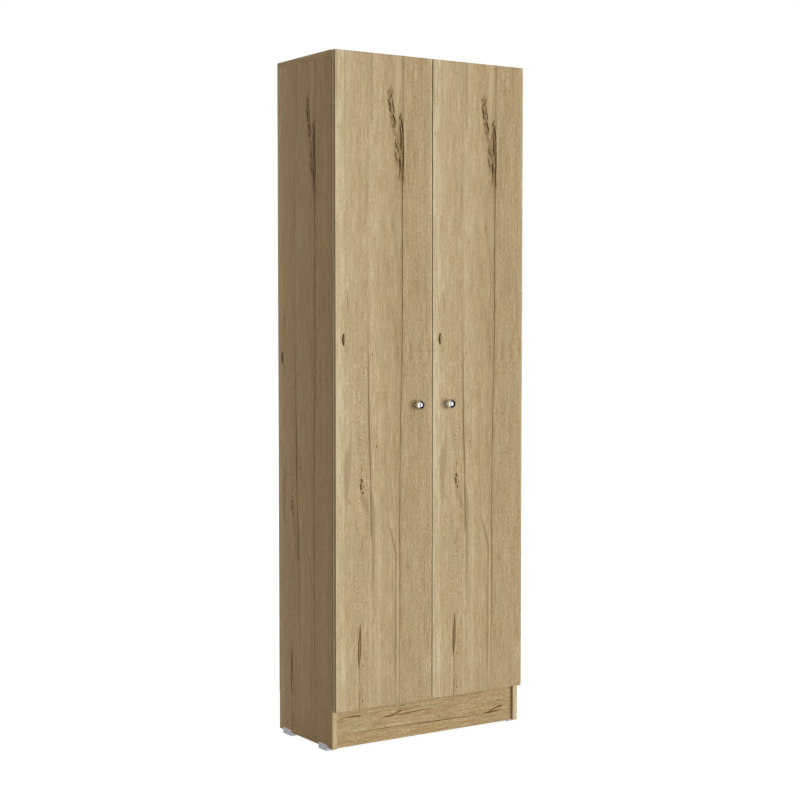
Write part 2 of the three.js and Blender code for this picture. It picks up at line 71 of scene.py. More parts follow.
# Cards that only polished metal sees, corners in metres: black on the right, above and below, a grey bar in front
FLAG_TONE = 0.004
BAR_TONE = 0.25
FLAG_RIGHT = [(1.12, -2.35, 0.03), (3.2, -0.20, 0.03), (3.2, -0.20, 7.0), (1.12, -2.35, 7.0)]
FLAG_ABOVE = [(-0.75, -1.25, 2.8), (3.0, -2.4, 2.8), (3.0, 0.3, 2.8), (-0.75, 0.3, 2.8)]
FLAG_BELOW = [(-0.5, -0.65, 0.03), (1.12, -2.35, 0.03), (3.2, -0.20, 0.03), (-0.5, -0.12, 0.03)]
FLAG_BAR = [(-0.363, -0.503, 0.03), (-0.253, -0.589, 0.03), (-0.253, -0.589, 1.9), (-0.363, -0.503, 1.9)]

# Oak print, colours in linear light, from the darkest tone to the palest
BROWN_OAK = (0.318, 0.219, 0.106)
DULL_OAK = (0.412, 0.301, 0.160)
MIDDLE_OAK = (0.480, 0.362, 0.203)
STRAW_OAK = (0.554, 0.447, 0.270)
PALE_OAK = (0.632, 0.542, 0.352)
GREEN_CAST = (0.432, 0.382, 0.215)
PINK_CAST = (0.500, 0.345, 0.225)
SEAM_BROWN = (0.140, 0.075, 0.019)
MARK_BROWN = (0.124, 0.066, 0.019)
KNOT_BROWN = (0.046, 0.028, 0.010)
HAZE_BROWN = (0.235, 0.158, 0.078)
CHIP_PALE = (0.560, 0.430, 0.270)
CHIP_DARK = (0.250, 0.165, 0.090)
# Painted shade: the outer side faces' print made browner, for their colour in shade
SIDE_PAINTED_SHADE_TINT = (1.00, 0.885, 0.725)

# The sheet that the print repeats on, in mm
SHEET_WIDTH = 300.0
WIDEST_FEATURE = 40.0

# Its tone from plank to plank, with painted highlights in the pale strips at both ends, which fall along the doors'
# upright edges: (place across, share from brown to pale)
PLANK_SHARES_AND_EDGE_HIGHLIGHTS = [
    (0, 1.5), (2.4, 1.4), (4, 0.90), (17, 0.84), (25, 0.76), (28, 0.66), (50, 0.62), (92, 0.55), (100, 0.55),
    (105, 0.66), (134, 0.58), (150, 0.47), (172, 0.41), (190, 0.29), (205, 0.26), (211, 0.37), (240, 0.35),
    (270, 0.38), (290, 0.40), (295, 0.55), (297, 0.85), (300, 0.95),
]
PLANK_CONTRAST = [(0, 0.68), (900, 0.92), (1810, 0.98)]

# Seams between the printed planks: (height, place across, strength of the line)
LONG_SEAM = [
    (0, 194, 0.1), (170, 196, 0.18), (300, 197.2, 0.45), (425, 197.3, 0.60), (555, 196.3, 0.72),
    (685, 197.3, 0.75), (815, 198.4, 0.85), (945, 201.6, 0.72), (1075, 204.3, 0.85), (1205, 204.9, 1.0),
    (1335, 204.6, 0.95), (1465, 206, 1.0), (1600, 206.8, 0.80), (1725, 207.7, 0.55), (1810, 208.4, 0.50),
]
SHORT_SEAM = [
    (530, 108.8, 0), (548, 108.6, 0.45), (562, 108.4, 0.95), (685, 106.2, 0.90), (815, 102.4, 1.0),
    (945, 100.6, 0.80), (1010, 99.8, 0.60), (1075, 99, 0.28), (1200, 98.5, 0.05), (1810, 100, 0.10),
]
LONG_SEAM_SHAPE = (1.4, 1.0)
SHORT_SEAM_SHAPE = (2.0, 2.4)

# Pale lines of the sheet: (height, place across, half width)
PALE_LINES = [
    [(70, 189, 0), (160, 189.4, 2.4), (300, 190.6, 2.8), (430, 190.4, 2.4), (560, 189.6, 1.8), (660, 190, 0)],
    [(70, 131, 0), (140, 131, 2.2), (300, 132, 2.8), (420, 132.5, 2.6), (560, 132, 2.0), (650, 132, 0)],
    [(1510, 213, 0), (1550, 214, 1.6), (1590, 214, 1.4), (1640, 213, 0)],
]
FORK_LIGHT = [(1618, 187, 0), (1650, 187, 6), (1700, 190, 11), (1765, 193, 12), (1810, 195, 10)]

# Soft brown clouds by the marks: (height, place across, half width)
FORK_HAZE = [
    [
        (1722, 168, 0), (1705, 168, 9), (1685, 168, 11), (1662, 171, 12), (1640, 174, 11), (1615, 177, 10),
        (1595, 182, 8), (1578, 188, 0),
    ],
    [
        (1662, 201, 0), (1640, 199, 8), (1612, 201, 11), (1590, 197, 15), (1565, 194, 18), (1540, 194, 18),
        (1520, 197, 15), (1500, 201, 9), (1475, 203, 5), (1410, 205, 0),
    ],
]
SPLIT_HAZE = [(588, 106, 0), (612, 98, 9), (640, 86, 13), (665, 80, 10), (700, 78, 8), (735, 79, 0)]
SPLIT_SMUDGE = [(600, 32, 0), (640, 34, 8), (690, 32, 12), (740, 35, 14), (790, 42, 9), (840, 46, 0)]
ARC_HAZE = [
    (100, 182, 0), (180, 183, 3), (300, 184, 4), (400, 184, 3), (450, 184.6, 2.4), (485, 185.6, 3.8),
    (505, 183.2, 4.6), (530, 176.8, 4.2), (552, 169.8, 3.6), (570, 164, 2.8), (584, 159.6, 1.8), (597, 156, 0),
]
SEAM_HAZE = [(820, 198, 0), (940, 197, 4), (1100, 200, 5), (1230, 200, 4), (1380, 201, 0)]
BAND_HAZE = [(1310, 88, 0), (1360, 90, 7), (1430, 94, 8), (1500, 92, 6), (1560, 90, 0)]
BROWN_BAND = [
    (110, 112, 0), (220, 112, 5), (390, 113, 6), (460, 114, 10), (600, 115, 10), (660, 112, 6), (720, 108, 0),
]
TOP_CORNER = [(1585, 6, 0), (1640, 5, 5), (1720, 4, 9), (1810, 4, 9)]
TOP_BAND = [(1560, 110, 0), (1620, 110, 7), (1700, 111, 9), (1810, 111, 8)]

# Dark marks of the sheet: (height, place across, half width)
FORK_STROKES = [
    [(1712, 161, 0), (1702, 161, 1.8), (1692, 161, 0)],
    [(1712, 177, 0), (1700, 173, 2.2), (1688, 167, 2.2), (1678, 163, 0)],
    [(1690, 159, 0), (1680, 161, 2.4), (1670, 166, 3.4), (1658, 166, 2.6), (1648, 167, 0)],
    [(1690, 173, 0), (1672, 176, 2.2), (1655, 179, 2.0), (1645, 181, 0)],
    [(1650, 175, 0), (1640, 178, 2.8), (1628, 182, 3.0), (1614, 185, 0)],
    [(1654, 203, 0), (1646, 201, 2.4), (1640, 197, 2.4), (1632, 193, 0)],
    [(1644, 201, 0), (1628, 202, 2.8), (1614, 206, 3.4), (1600, 207.5, 2.8), (1590, 208, 0)],
    [(1622, 200, 0), (1606, 199, 2.6), (1588, 201, 2.6), (1560, 200, 2.4), (1548, 200, 0)],
    [(1600, 208.6, 0), (1588, 208.8, 2.0), (1562, 208.6, 2.0), (1545, 207.8, 2.6), (1512, 207.5, 2.8), (1480, 207, 2.0), (1462, 206, 0)],
    [(1582, 181, 0), (1574, 183, 2.2), (1562, 188, 2.2), (1552, 194, 2.0), (1546, 198, 0)],
    [(1553, 179, 0), (1542, 182, 1.8), (1530, 189, 2.0), (1524, 194, 0)],
    [(1548, 196, 0), (1532, 196.6, 2.4), (1518, 197.4, 3.4), (1506, 197, 2.2), (1482, 195.6, 1.6), (1468, 195.6, 0)],
]
EYE_RIM = [
    (1081, 25, 0), (1075, 24.7, 3.6), (1069, 22.7, 3.0), (1062, 22.2, 3.4), (1056, 23.4, 3.0), (1052, 24.6, 3.6),
    (1046, 25, 0),
]
EYE_HEART = [(1079, 25, 0), (1070, 25.6, 4.4), (1060, 25.6, 4.8), (1052, 25.6, 3.0), (1047, 25.6, 0)]
EYE_TAIL = [(1054, 29, 0), (1042, 31, 2.6), (1030, 31.6, 2.0), (1012, 31, 0)]
THIN_STREAK = [(1126, 38, 0), (1150, 37.6, 1.9), (1182, 36, 1.6), (1208, 35, 0)]
HOOK_MARK = [(628, 46, 0), (638, 44, 1.8), (646, 41, 2.2), (653, 37, 0)]
LOW_SPLIT = [
    [(328, 74.4, 0), (318, 73.8, 2.2), (295, 71.4, 2.2), (270, 68.6, 2.6), (245, 68.2, 2.6), (222, 69.2, 2.4), (204, 69.5, 0)],
    [(326, 74.6, 0), (300, 74.6, 2.0), (276, 75.2, 2.2), (252, 74.8, 2.4), (234, 73.4, 2.0), (214, 71, 0)],
]
LOW_HEART = [(318, 74, 0), (290, 72.6, 4.4), (262, 71.8, 5.6), (235, 71, 5.0), (205, 70.6, 4.2), (175, 72, 3.6), (150, 72, 0)]
LOW_LOOP = [
    [(156, 74, 0), (147, 72.8, 1.8), (122, 71.6, 2.0), (100, 70.4, 1.8), (84, 70, 0)],
    [(158, 74, 0), (156, 77, 1.8), (149, 80, 1.6), (130, 80.6, 1.2), (112, 82, 0)],
]

# Small dark spots: (height, place across, half width, half length)
SPECKS = [
    (1024, 112.2, 2.0, 6.0), (785, 124.3, 2.2, 6.0), (214, 81, 2.2, 6.0), (121, 81, 2.2, 6.0),
    (699, 78.4, 4.2, 7.0), (695, 82.0, 2.6, 5.0), (685, 76.6, 4.0, 10.0), (677, 77.4, 4.0, 6.0), (666, 82.4, 3.2, 6.0),
    (728, 78.6, 1.6, 16.0), (682, 84.6, 1.6, 8.0),
]

# The flame figure of the left plank: its middle, half width, and where it fades in and out along the sheet
FLAME_MIDDLE = 76.0
FLAME_HALF_WIDTH = 24.0
FLAME_RUN = (60.0, 300.0, 1000.0, 1300.0)
FLAME_PITCH = 10.5

# The side faces carry the same sheet, turned about, a little larger and lower
SIDE_SHEET_EDGE = 164.02
SIDE_ACROSS_SCALE = 1.035
SIDE_ALONG_SCALE = 0.952
SIDE_ALONG_SHIFT = 100.0

# Dark cracks along the plinth: (place from the left, height, half width), all in mm
PLINTH_CRACKS = [
    [(18, 77, 0), (45, 77, 0.9), (64, 77.5, 1.8), (82, 76.6, 1.9), (99, 75.4, 0)],
    [(146, 62, 0), (166, 63.4, 1.4), (184, 64.6, 2.4), (198, 68.4, 1.7), (212, 73.2, 2.0), (226, 75.4, 0)],
    [(160, 62.6, 0), (200, 64, 1.1), (240, 65.4, 1.3), (292, 67, 1.0), (340, 65.4, 0)],
    [(20, 34.6, 0), (120, 34, 0.9), (260, 32, 1.0), (330, 30.5, 1.2), (420, 30, 1.0), (486, 29, 0)],
    [(478, 28.6, 0), (502, 31, 2.0), (528, 39.6, 2.2), (545, 43, 2.3), (562, 44.4, 0)],
    [(492, 29.4, 0), (510, 30.6, 2.2), (536, 33, 1.8), (554, 35, 0)],
    [(330, 92, 0), (339, 93, 1.9), (348, 93.4, 0)],
    [(206, 86, 0), (220, 87.4, 1.4), (238, 88, 0)],
]
PLINTH_HEIGHT = 100.0

# Fasteners, in mm
CUP_WING_OFFSET = 6.0
CUP_SCREW_SPACING = 48.0
PLATE_WING = 2.0
PLATE_SCREW_SPACING = 32.0
ARM_FIXING_DISTANCE = 13.0
ARM_SLOT_DISTANCE = 36.0
CATCH_SCREW_INSET = 3.0
CATCH_EAR = 1.5
CATCH_WIDTH = 13.0
GLIDE_NAIL_SPACING = 24.0
GLIDE_FLANGE = 7.0
GLIDE_DROP = 9.0
BACK_NAIL_PITCH = 118.0
CAM_INSET = 24.0
CAM_END_DISTANCE = 48.0
END_GRAIN_SHIFT = 500.0
INNER_SHIFT = 770.0
FAR_FROM_MIDDLE = 100.0

# Painted dark reflection: the tone that chrome takes at its glancing rim
CHROME_PAINTED_DARK_RIM = (0.10, 0.09, 0.09, 1.0)

# Factors on the print's colour: the plinth's own grain, and painted shade and painted light on the doors' edges, the
# outer side faces, the top panel's ends and the front edges
PLINTH_DARK = (0.76, 0.71, 0.60)
PLINTH_PALE = (1.34, 1.34, 1.30)
PLINTH_TINT = (1.09, 1.08, 1.04)
MEETING_EDGE_PAINTED_SHADE = (0.72, 0.68, 0.61)
FRONT_EDGE_PAINTED_LIGHT = (1.11, 1.11, 1.12)
TOP_END_PAINTED_SHADE = (0.83, 0.79, 0.74)
TOP_HEIGHT = 1794.0
SIDE_PAINTED_SHADE = (0.80, 0.79, 0.77)
SIDE_MARKS = 1.4

# Painted shade on the outer side faces, from front to back: (place in mm, share)
SIDE_PAINTED_SHADE_SHARES = [(-118, 0.34), (-98, 0.30), (-88, 0.0), (20, 0.0), (32, 0.22), (78, 0.26), (92, 0.0), (161, 0.0)]
# Painted shade near the front and painted light near the back of the doors' outer upright edges
OUTER_EDGE_PAINTED_SHADE = (0.72, 0.68, 0.60)
OUTER_EDGE_PAINTED_LIGHT = (1.50, 1.50, 1.50)
OUTER_EDGE_PLACE = 290.0
DOOR_BACK_DEPTH = 120.97


class Field:
    """A number worked out all over a surface. Sums, products and steps of fields become shader nodes."""

    def __init__(self, tree, socket):
        self.tree = tree
        self.socket = socket

    def by(self, operation, *others):
        node = self.tree.nodes.new("ShaderNodeMath")
        node.operation = operation
        for place, value in enumerate((self, *others)):
            plug(self.tree, value, node.inputs[place])
        return Field(self.tree, node.outputs[0])

    def __add__(self, other):
        return self.by("ADD", other)

    def __sub__(self, other):
        return self.by("SUBTRACT", other)

    def __mul__(self, other):
        return self.by("MULTIPLY", other)

    def __abs__(self):
        return self.by("ABSOLUTE")

    def above(self, other):
        return self.by("GREATER_THAN", other)

    def larger(self, other):
        return self.by("MAXIMUM", other)

    def sine(self):
        return self.by("SINE")

    def step(self, low, high):
        """0 at low and 1 at high, with a smooth rise between."""
        node = self.tree.nodes.new("ShaderNodeMapRange")
        node.interpolation_type = "SMOOTHSTEP"
        self.tree.links.new(self.socket, node.inputs["Value"])
        node.inputs["From Min"].default_value = low
        node.inputs["From Max"].default_value = high
        return Field(self.tree, node.outputs["Result"])

    def follow(self, points, low, high):
        """The smooth curve through (place, value) points, with the values between low and high."""
        first, last = points[0][0], points[-1][0]
        node = self.tree.nodes.new("ShaderNodeFloatCurve")
        curve = node.mapping.curves[0]
        spots = [((p - first) / (last - first), (v - low) / (high - low)) for p, v in points]
        while len(curve.points) < len(spots):
            curve.points.new(0.5, 0.5)
        for point, spot in zip(curve.points, spots):
            point.location = spot
            point.handle_type = "AUTO_CLAMPED"
        node.mapping.extend = "HORIZONTAL"
        node.mapping.update()
        self.tree.links.new(((self - first) * (1 / (last - first))).socket, node.inputs["Value"])
        return Field(self.tree, node.outputs["Value"]) * (high - low) + low


def plug(tree, value, socket):
    if isinstance(value, Field):
        tree.links.new(value.socket, socket)
    else:
        socket.default_value = value


def vector_of(tree, x, y, z=0.0):
    node = tree.nodes.new("ShaderNodeCombineXYZ")
    for place, value in enumerate((x, y, z)):
        plug(tree, value, node.inputs[place])
    return node.outputs[0]


def cloud(tree, x, y, z=0.0, detail=2.0, roughness=0.5, warp=0.0):
    """Noise about 0.5 that changes over one unit of x, y and z."""
    node = tree.nodes.new("ShaderNodeTexNoise")
    node.inputs["Scale"].default_value = 1.0
    node.inputs["Detail"].default_value = detail
    node.inputs["Roughness"].default_value = roughness
    node.inputs["Distortion"].default_value = warp
    tree.links.new(vector_of(tree, x, y, z), node.inputs["Vector"])
    return Field(tree, node.outputs["Fac"])


def flakes(tree, vector, scale):
    node = tree.nodes.new("ShaderNodeTexVoronoi")
    node.inputs["Scale"].default_value = scale
    tree.links.new(vector, node.inputs["Vector"])
    split = tree.nodes.new("ShaderNodeSeparateColor")
    tree.links.new(node.outputs["Color"], split.inputs[0])
    return Field(tree, split.outputs[0])


def blend_colour(tree, factor, first, second):
    """first where the factor is 0 and second where it is 1."""
    node = tree.nodes.new("ShaderNodeMix")
    node.data_type = "RGBA"
    sockets = [s for s in node.inputs if s.enabled]
    plug(tree, factor, sockets[0])
    for socket, colour in zip(sockets[1:], (first, second)):
        if isinstance(colour, tuple):
            socket.default_value = (*colour, 1.0)
        else:
            tree.links.new(colour, socket)
    return [s for s in node.outputs if s.enabled][0]


def tone_ramp(tree, value, tones):
    """A colour for each tone: tones are (place, colour) from dark to pale."""
    node = tree.nodes.new("ShaderNodeValToRGB")
    ramp = node.color_ramp
    while len(ramp.elements) < len(tones):
        ramp.elements.new(0.5)
    for element, (place, colour) in zip(ramp.elements, tones):
        element.position = place
        element.color = (*colour, 1.0)
    tree.links.new(value.socket, node.inputs[0])
    return node.outputs["Color"]


def near_line(across, line, half_width, soft):
    """1 within half_width of a line and 0 past the soft edge."""
    return (abs(across - line) * -1.0 + half_width).step(-soft, soft)


def drawn_patch(across, along, points, soft):
    """1 inside a patch given by (height, place across, half width) points, 0 outside it."""
    middle = along.follow([(h, a) for h, a, w in points], 0.0, SHEET_WIDTH)
    reach = along.follow([(h, w) for h, a, w in points], 0.0, WIDEST_FEATURE)
    return (reach - abs(across - middle)).step(0.0, soft)


def grain(tree, across, along, rates, seed, detail=2.0, roughness=0.5):
    """Noise about 0 whose spots are 1 / rates long across and along the sheet."""
    return cloud(tree, across * rates[0], along * rates[1], seed, detail, roughness) - 0.5


def print_tone(tree, places, sheet):
    """How pale the print is, from 0 to 1: planks, clouds, streaks, fibres, sand and the flame figure."""
    flat_across, across, edge_across, along = places
    # The pale strips at both ends of the plank shares are painted highlights along the doors' upright edges
    plank = flat_across.follow(PLANK_SHARES_AND_EDGE_HIGHLIGHTS, 0.0, 1.5) - 0.5
    tone = plank * along.follow(PLANK_CONTRAST, 0.0, 2.0) + 0.5
    tone = tone + grain(tree, across, along, (0.020, 0.0014), sheet + 1.0) * 0.20
    tone = tone + grain(tree, across, along, (0.055, 0.0070), sheet + 7.0, 3.0) * 0.50
    tone = tone + grain(tree, across, along, (0.150, 0.0030), sheet + 3.0, 2.0, 0.6) * 0.62
    fibre = grain(tree, across, along, (0.340, 0.0180), sheet + 5.0, 3.0, 0.65)
    sand = grain(tree, flat_across, along, (0.260, 0.1100), sheet + 9.0, 2.0, 0.6)
    sandy = across.step(196.0, 214.0) * 0.30 + 0.66
    tone = tone + fibre * 1.45 + sand * sandy * 1.30

    plank = (abs(across - FLAME_MIDDLE) * -1.0 + FLAME_HALF_WIDTH).step(-6.0, 12.0)
    rise, full, fading, end = FLAME_RUN
    run = along.step(rise, full) * along.step(end, fading)
    bow = abs(across - FLAME_MIDDLE).by("POWER", 1.35) * 0.42
    wander = grain(tree, across, along, (0.060, 0.0300), sheet + 11.0, 3.0, 0.6) * 40.0
    arches = ((along + bow + wander) * (2.0 * math.pi / FLAME_PITCH)).sine()
    patches = grain(tree, across, along, (0.100, 0.0400), sheet + 15.0, 3.0, 0.6).step(-0.10, 0.14)
    return tone + (arches - 0.2) * plank * run * patches * 0.36, fibre, sand


def seam_line(tree, across, along, points, shape):
    """A line between two planks: 1 along its middle, fading along its length as its points say."""
    half_width, soft = shape
    place = along.follow([(h, a) for h, a, s in points], 0.0, SHEET_WIDTH)
    strength = along.follow([(h, s) for h, a, s in points], 0.0, 1.0)
    return near_line(across, place, half_width, soft) * strength


def print_marks(tree, places, sheet):
    """Haze, pale lines, seams, brown marks and black marks of the sheet, each from 0 to 1."""
    flat_across, across, edge_across, along = places
    grit = grain(tree, flat_across, along, (0.34, 0.075), sheet + 21.0, 3.0, 0.7)
    torn = grain(tree, flat_across, along, (0.16, 0.10), sheet + 23.0, 3.0, 0.6)
    ragged = edge_across + torn * 7.0
    frayed = edge_across + torn * 4.5

    haze = drawn_patch(ragged, along, SPLIT_HAZE, 12.0) * 0.42
    net = drawn_patch(ragged, along, FORK_HAZE[0], 7.0).larger(drawn_patch(ragged, along, FORK_HAZE[1], 7.0))
    haze = haze.larger(net * 0.62) * (grit.step(-0.24, 0.10) * 0.6 + 0.4)
    haze = haze.larger(drawn_patch(frayed, along, LOW_HEART, 3.0) * 0.55)
    for points, soft, depth in (
        (SPLIT_SMUDGE, 9.0, 0.34), (ARC_HAZE, 2.4, 0.52), (SEAM_HAZE, 4.0, 0.20), (BAND_HAZE, 7.0, 0.24),
        (BROWN_BAND, 10.0, 0.50), (TOP_CORNER, 10.0, 0.46), (TOP_BAND, 9.0, 0.46),
    ):
        haze = haze.larger(drawn_patch(frayed, along, points, soft) * depth)

    light = drawn_patch(across, along, FORK_LIGHT, 9.0) * 0.55
    for points in PALE_LINES:
        light = light.larger(drawn_patch(edge_across, along, points, 1.6) * 0.80)

    worn = cloud(tree, sheet, along * 0.012, 31.0, 2.0).step(0.30, 0.58) * 0.25 + 0.75
    seams = seam_line(tree, edge_across, along, LONG_SEAM, LONG_SEAM_SHAPE)
    seams = seams.larger(seam_line(tree, edge_across, along, SHORT_SEAM, SHORT_SEAM_SHAPE) * 0.9) * worn

    # Brown marks; the fork's are strokes and the thin loops of a net between them
    strokes = None
    for points in FORK_STROKES:
        stroke = drawn_patch(frayed, along, points, 1.5)
        strokes = stroke if strokes is None else strokes.larger(stroke)
    loops = (abs(grain(tree, flat_across, along, (0.11, 0.055), sheet + 25.0, 2.0)) * -1.0 + 0.030).step(-0.03, 0.02)
    broken = grit.step(-0.26, 0.04) * 0.6 + 0.4
    brown = (strokes * 0.95).larger(net * loops * 0.70) * broken
    for points in LOW_SPLIT:
        brown = brown.larger(drawn_patch(edge_across, along, points, 1.4) * 0.92)
    for points in LOW_LOOP:
        brown = brown.larger(drawn_patch(edge_across, along, points, 1.4) * 0.62)
    for points, soft, depth in (
        (EYE_TAIL, 2.0, 0.30), (EYE_HEART, 1.6, 0.62), (THIN_STREAK, 1.6, 0.70), (HOOK_MARK, 1.4, 0.45),
    ):
        brown = brown.larger(drawn_patch(frayed, along, points, soft) * broken * depth)
    for height, place, radius, length in SPECKS:
        speck = [(height - length, place, 0), (height, place, radius), (height + length, place, 0)]
        brown = brown.larger(drawn_patch(edge_across, along, speck, 1.4) * 0.95)

    # Black marks: the thick parts of the fork's strokes, and the rim of the eye
    black = strokes * (grit + torn * 0.5).step(-0.20, 0.03)
    black = black.larger(drawn_patch(edge_across, along, EYE_RIM, 1.6))
    return haze, light, seams, brown, black


def oak_print_group():
    """The printed sheet: colour, gloss and relief from the places across and along it, in mm, and from
    the strength of its seams and marks."""
    tree = bpy.data.node_groups.new("oak_print", "ShaderNodeTree")
    for name in ("Across", "Along", "Sheet", "Marks"):
        tree.interface.new_socket(name=name, in_out="INPUT", socket_type="NodeSocketFloat")
    tree.interface.new_socket(name="Color", in_out="OUTPUT", socket_type="NodeSocketColor")
    for name in ("Roughness", "Relief"):
        tree.interface.new_socket(name=name, in_out="OUTPUT", socket_type="NodeSocketFloat")
    entry = tree.nodes.new("NodeGroupInput")
    exit_node = tree.nodes.new("NodeGroupOutput")
    flat_across = Field(tree, entry.outputs["Across"])
    along = Field(tree, entry.outputs["Along"])
    sheet = Field(tree, entry.outputs["Sheet"])
    marks = Field(tree, entry.outputs["Marks"])

    # The grain wanders a little from side to side
    sway = grain(tree, flat_across, along, (0.012, 0.0035), sheet)
    shiver = grain(tree, flat_across, along, (0.05, 0.030), sheet + 2.0)
    across = flat_across + sway * 12.0 + shiver * 3.0
    edge_across = flat_across + shiver * 2.6
    places = (flat_across, across, edge_across, along)

    tone, fibre, sand = print_tone(tree, places, sheet)
    haze, light, seams, brown, black = print_marks(tree, places, sheet)
    colour = tone_ramp(tree, tone, [
        (0.0, BROWN_OAK), (0.30, DULL_OAK), (0.55, MIDDLE_OAK), (0.80, STRAW_OAK), (1.0, PALE_OAK),
    ])
    green = grain(tree, across, along, (0.060, 0.007), sheet + 13.0).step(0.0, 0.22)
    pink = grain(tree, across, along, (0.075, 0.009), sheet + 17.0).step(0.0, 0.22)
    colour = blend_colour(tree, green * 0.50, colour, GREEN_CAST)
    colour = blend_colour(tree, pink * 0.48, colour, PINK_CAST)
    colour = blend_colour(tree, light, colour, STRAW_OAK)
    colour = blend_colour(tree, haze, colour, HAZE_BROWN)
    colour = blend_colour(tree, seams * marks, colour, SEAM_BROWN)
    colour = blend_colour(tree, brown * marks, colour, MARK_BROWN)
    colour = blend_colour(tree, black * marks, colour, KNOT_BROWN)

    dark = brown.larger(black)
    relief = fibre * 0.5 + sand * 0.35 - seams * 0.8 - dark * 0.6
    gloss = fibre * 0.12 + dark * 0.10 + 0.52
    tree.links.new(colour, exit_node.inputs["Color"])
    tree.links.new(gloss.socket, exit_node.inputs["Roughness"])
    tree.links.new(relief.socket, exit_node.inputs["Relief"])
    return tree


def new_material(name):
    material = bpy.data.materials.new(name)
    material.use_nodes = True
    return material, material.node_tree, material.node_tree.nodes["Principled BSDF"]


def surface_relief(tree, shader, height, strength, distance):
    bump = tree.nodes.new("ShaderNodeBump")
    bump.inputs["Strength"].default_value = strength
    bump.inputs["Distance"].default_value = distance
    tree.links.new(height.socket, bump.inputs["Height"])
    tree.links.new(bump.outputs["Normal"], shader.inputs["Normal"])


def place_and_facing(tree):
    """The point in mm along x, y and z, and how far the face looks along each of them."""
    coordinates = tree.nodes.new("ShaderNodeTexCoord")
    point = tree.nodes.new("ShaderNodeSeparateXYZ")
    facing = tree.nodes.new("ShaderNodeSeparateXYZ")
    tree.links.new(coordinates.outputs["Object"], point.inputs[0])
    tree.links.new(coordinates.outputs["Normal"], facing.inputs[0])
    spot = [Field(tree, socket) * (1 / MM) for socket in point.outputs]
    return spot, [Field(tree, socket) for socket in facing.outputs], coordinates.outputs["Object"]


def board_material(name, group, axes, places, sheet, edge_shift=0.0, raw_sides=(), finish=None, marks=1.0):
    """Chipboard in the oak print. axes are the ways that the grain runs along, across and through the
    board, and places are (scale, shift) in mm along and across the sheet. Edges take a strip of the
    sheet near edge_shift, whose grain runs along them, and faces that look to the cabinet's middle take
    a place farther along the sheet. raw_sides are (axis, way) of bare faces, finish is what is laid
    over the print (the plinth's grain and cracks on the plinth, painted shade and painted light on the
    other boards), and marks is how strong its seams and marks are."""
    material, tree, shader = new_material(name)
    spot, facing, point = place_and_facing(tree)
    along_axis, across_axis, through_axis = axes
    (along_scale, along_shift), (across_scale, across_shift) = places
    end = abs(facing[along_axis]).above(0.6)
    edge = abs(facing[across_axis]).above(0.6).larger(end)
    face_across = spot[across_axis] * across_scale + across_shift
    inner = (facing[through_axis] * spot[through_axis] * -1.0).above(FAR_FROM_MIDDLE)
    face_along = spot[along_axis] * along_scale + along_shift + inner * INNER_SHIFT
    across = face_across + (spot[through_axis] + edge_shift - face_across) * edge
    along = face_along + (spot[across_axis] + END_GRAIN_SHIFT - face_along) * end
    sheet_node = tree.nodes.new("ShaderNodeGroup")
    sheet_node.node_tree = group
    plug(tree, across, sheet_node.inputs["Across"])
    plug(tree, along, sheet_node.inputs["Along"])
    sheet_node.inputs["Sheet"].default_value = sheet
    sheet_node.inputs["Marks"].default_value = marks
    colour = sheet_node.outputs["Color"]
    relief = Field(tree, sheet_node.outputs["Relief"])
    if finish:
        colour = finish(tree, spot, facing, colour)
    if raw_sides:
        raw = None
        for axis, way in raw_sides:
            side = (facing[axis] * way).above(0.6)
            raw = side if raw is None else raw.larger(side)
        chip = flakes(tree, point, 420.0) * 0.6 + flakes(tree, point, 950.0) * 0.4
        colour = blend_colour(tree, raw, colour, blend_colour(tree, chip, CHIP_PALE, CHIP_DARK))
        relief = relief + chip * raw * 1.5
    tree.links.new(colour, shader.inputs["Base Color"])
    tree.links.new(sheet_node.outputs["Roughness"], shader.inputs["Roughness"])
    shader.inputs["Specular IOR Level"].default_value = 0.18
    surface_relief(tree, shader, relief, 0.35, 0.12 * MM)
    return material


def tint_colour(tree, colour, tint, factor=1.0):
    """The colour times the tint, as far as the factor says."""
    node = tree.nodes.new("ShaderNodeMix")
    node.data_type = "RGBA"
    node.blend_type = "MULTIPLY"
    sockets = [s for s in node.inputs if s.enabled]
    plug(tree, factor, sockets[0])
    tree.links.new(colour, sockets[1])
    sockets[2].default_value = (*tint, 1.0)
    return [s for s in node.outputs if s.enabled][0]


def plinth_finish(tree, spot, facing, colour):
    """Coarse level grain, the browner foot and the dark cracks of the plinth, over its colour."""
    height = spot[2] - GLIDE_DROP
    from_left = spot[0] + SHEET_WIDTH
    sway = grain(tree, from_left, height, (0.011, 0.02), 5.0) * 9.0
    streak = grain(tree, from_left, height + sway, (0.016, 0.17), 3.0, 3.0, 0.6)
    speck = grain(tree, from_left, height, (0.10, 0.30), 8.0, 3.0, 0.7)
    mottle = streak * 0.8 + speck * 0.75
    foot = height.step(62.0, 8.0) * 0.25
    colour = tint_colour(tree, colour, PLINTH_TINT)
    colour = tint_colour(tree, colour, PLINTH_DARK, (mottle * -1.0).step(-0.05, 0.40) + foot)
    colour = tint_colour(tree, colour, PLINTH_PALE, mottle.step(0.0, 0.40))
    waver = (cloud(tree, from_left * 0.07, height * 0.1, 2.0) - 0.5) * 3.0
    for points in PLINTH_CRACKS:
        line = from_left.follow([(x, z) for x, z, w in points], 0.0, PLINTH_HEIGHT)
        reach = from_left.follow([(x, w) for x, z, w in points], 0.0, WIDEST_FEATURE)
        crack = (reach - abs(height + waver - line)).step(-0.6, 1.0) * (speck.step(-0.3, 0.0) * 0.4 + 0.6)
        colour = blend_colour(tree, crack, colour, SEAM_BROWN)
    return colour


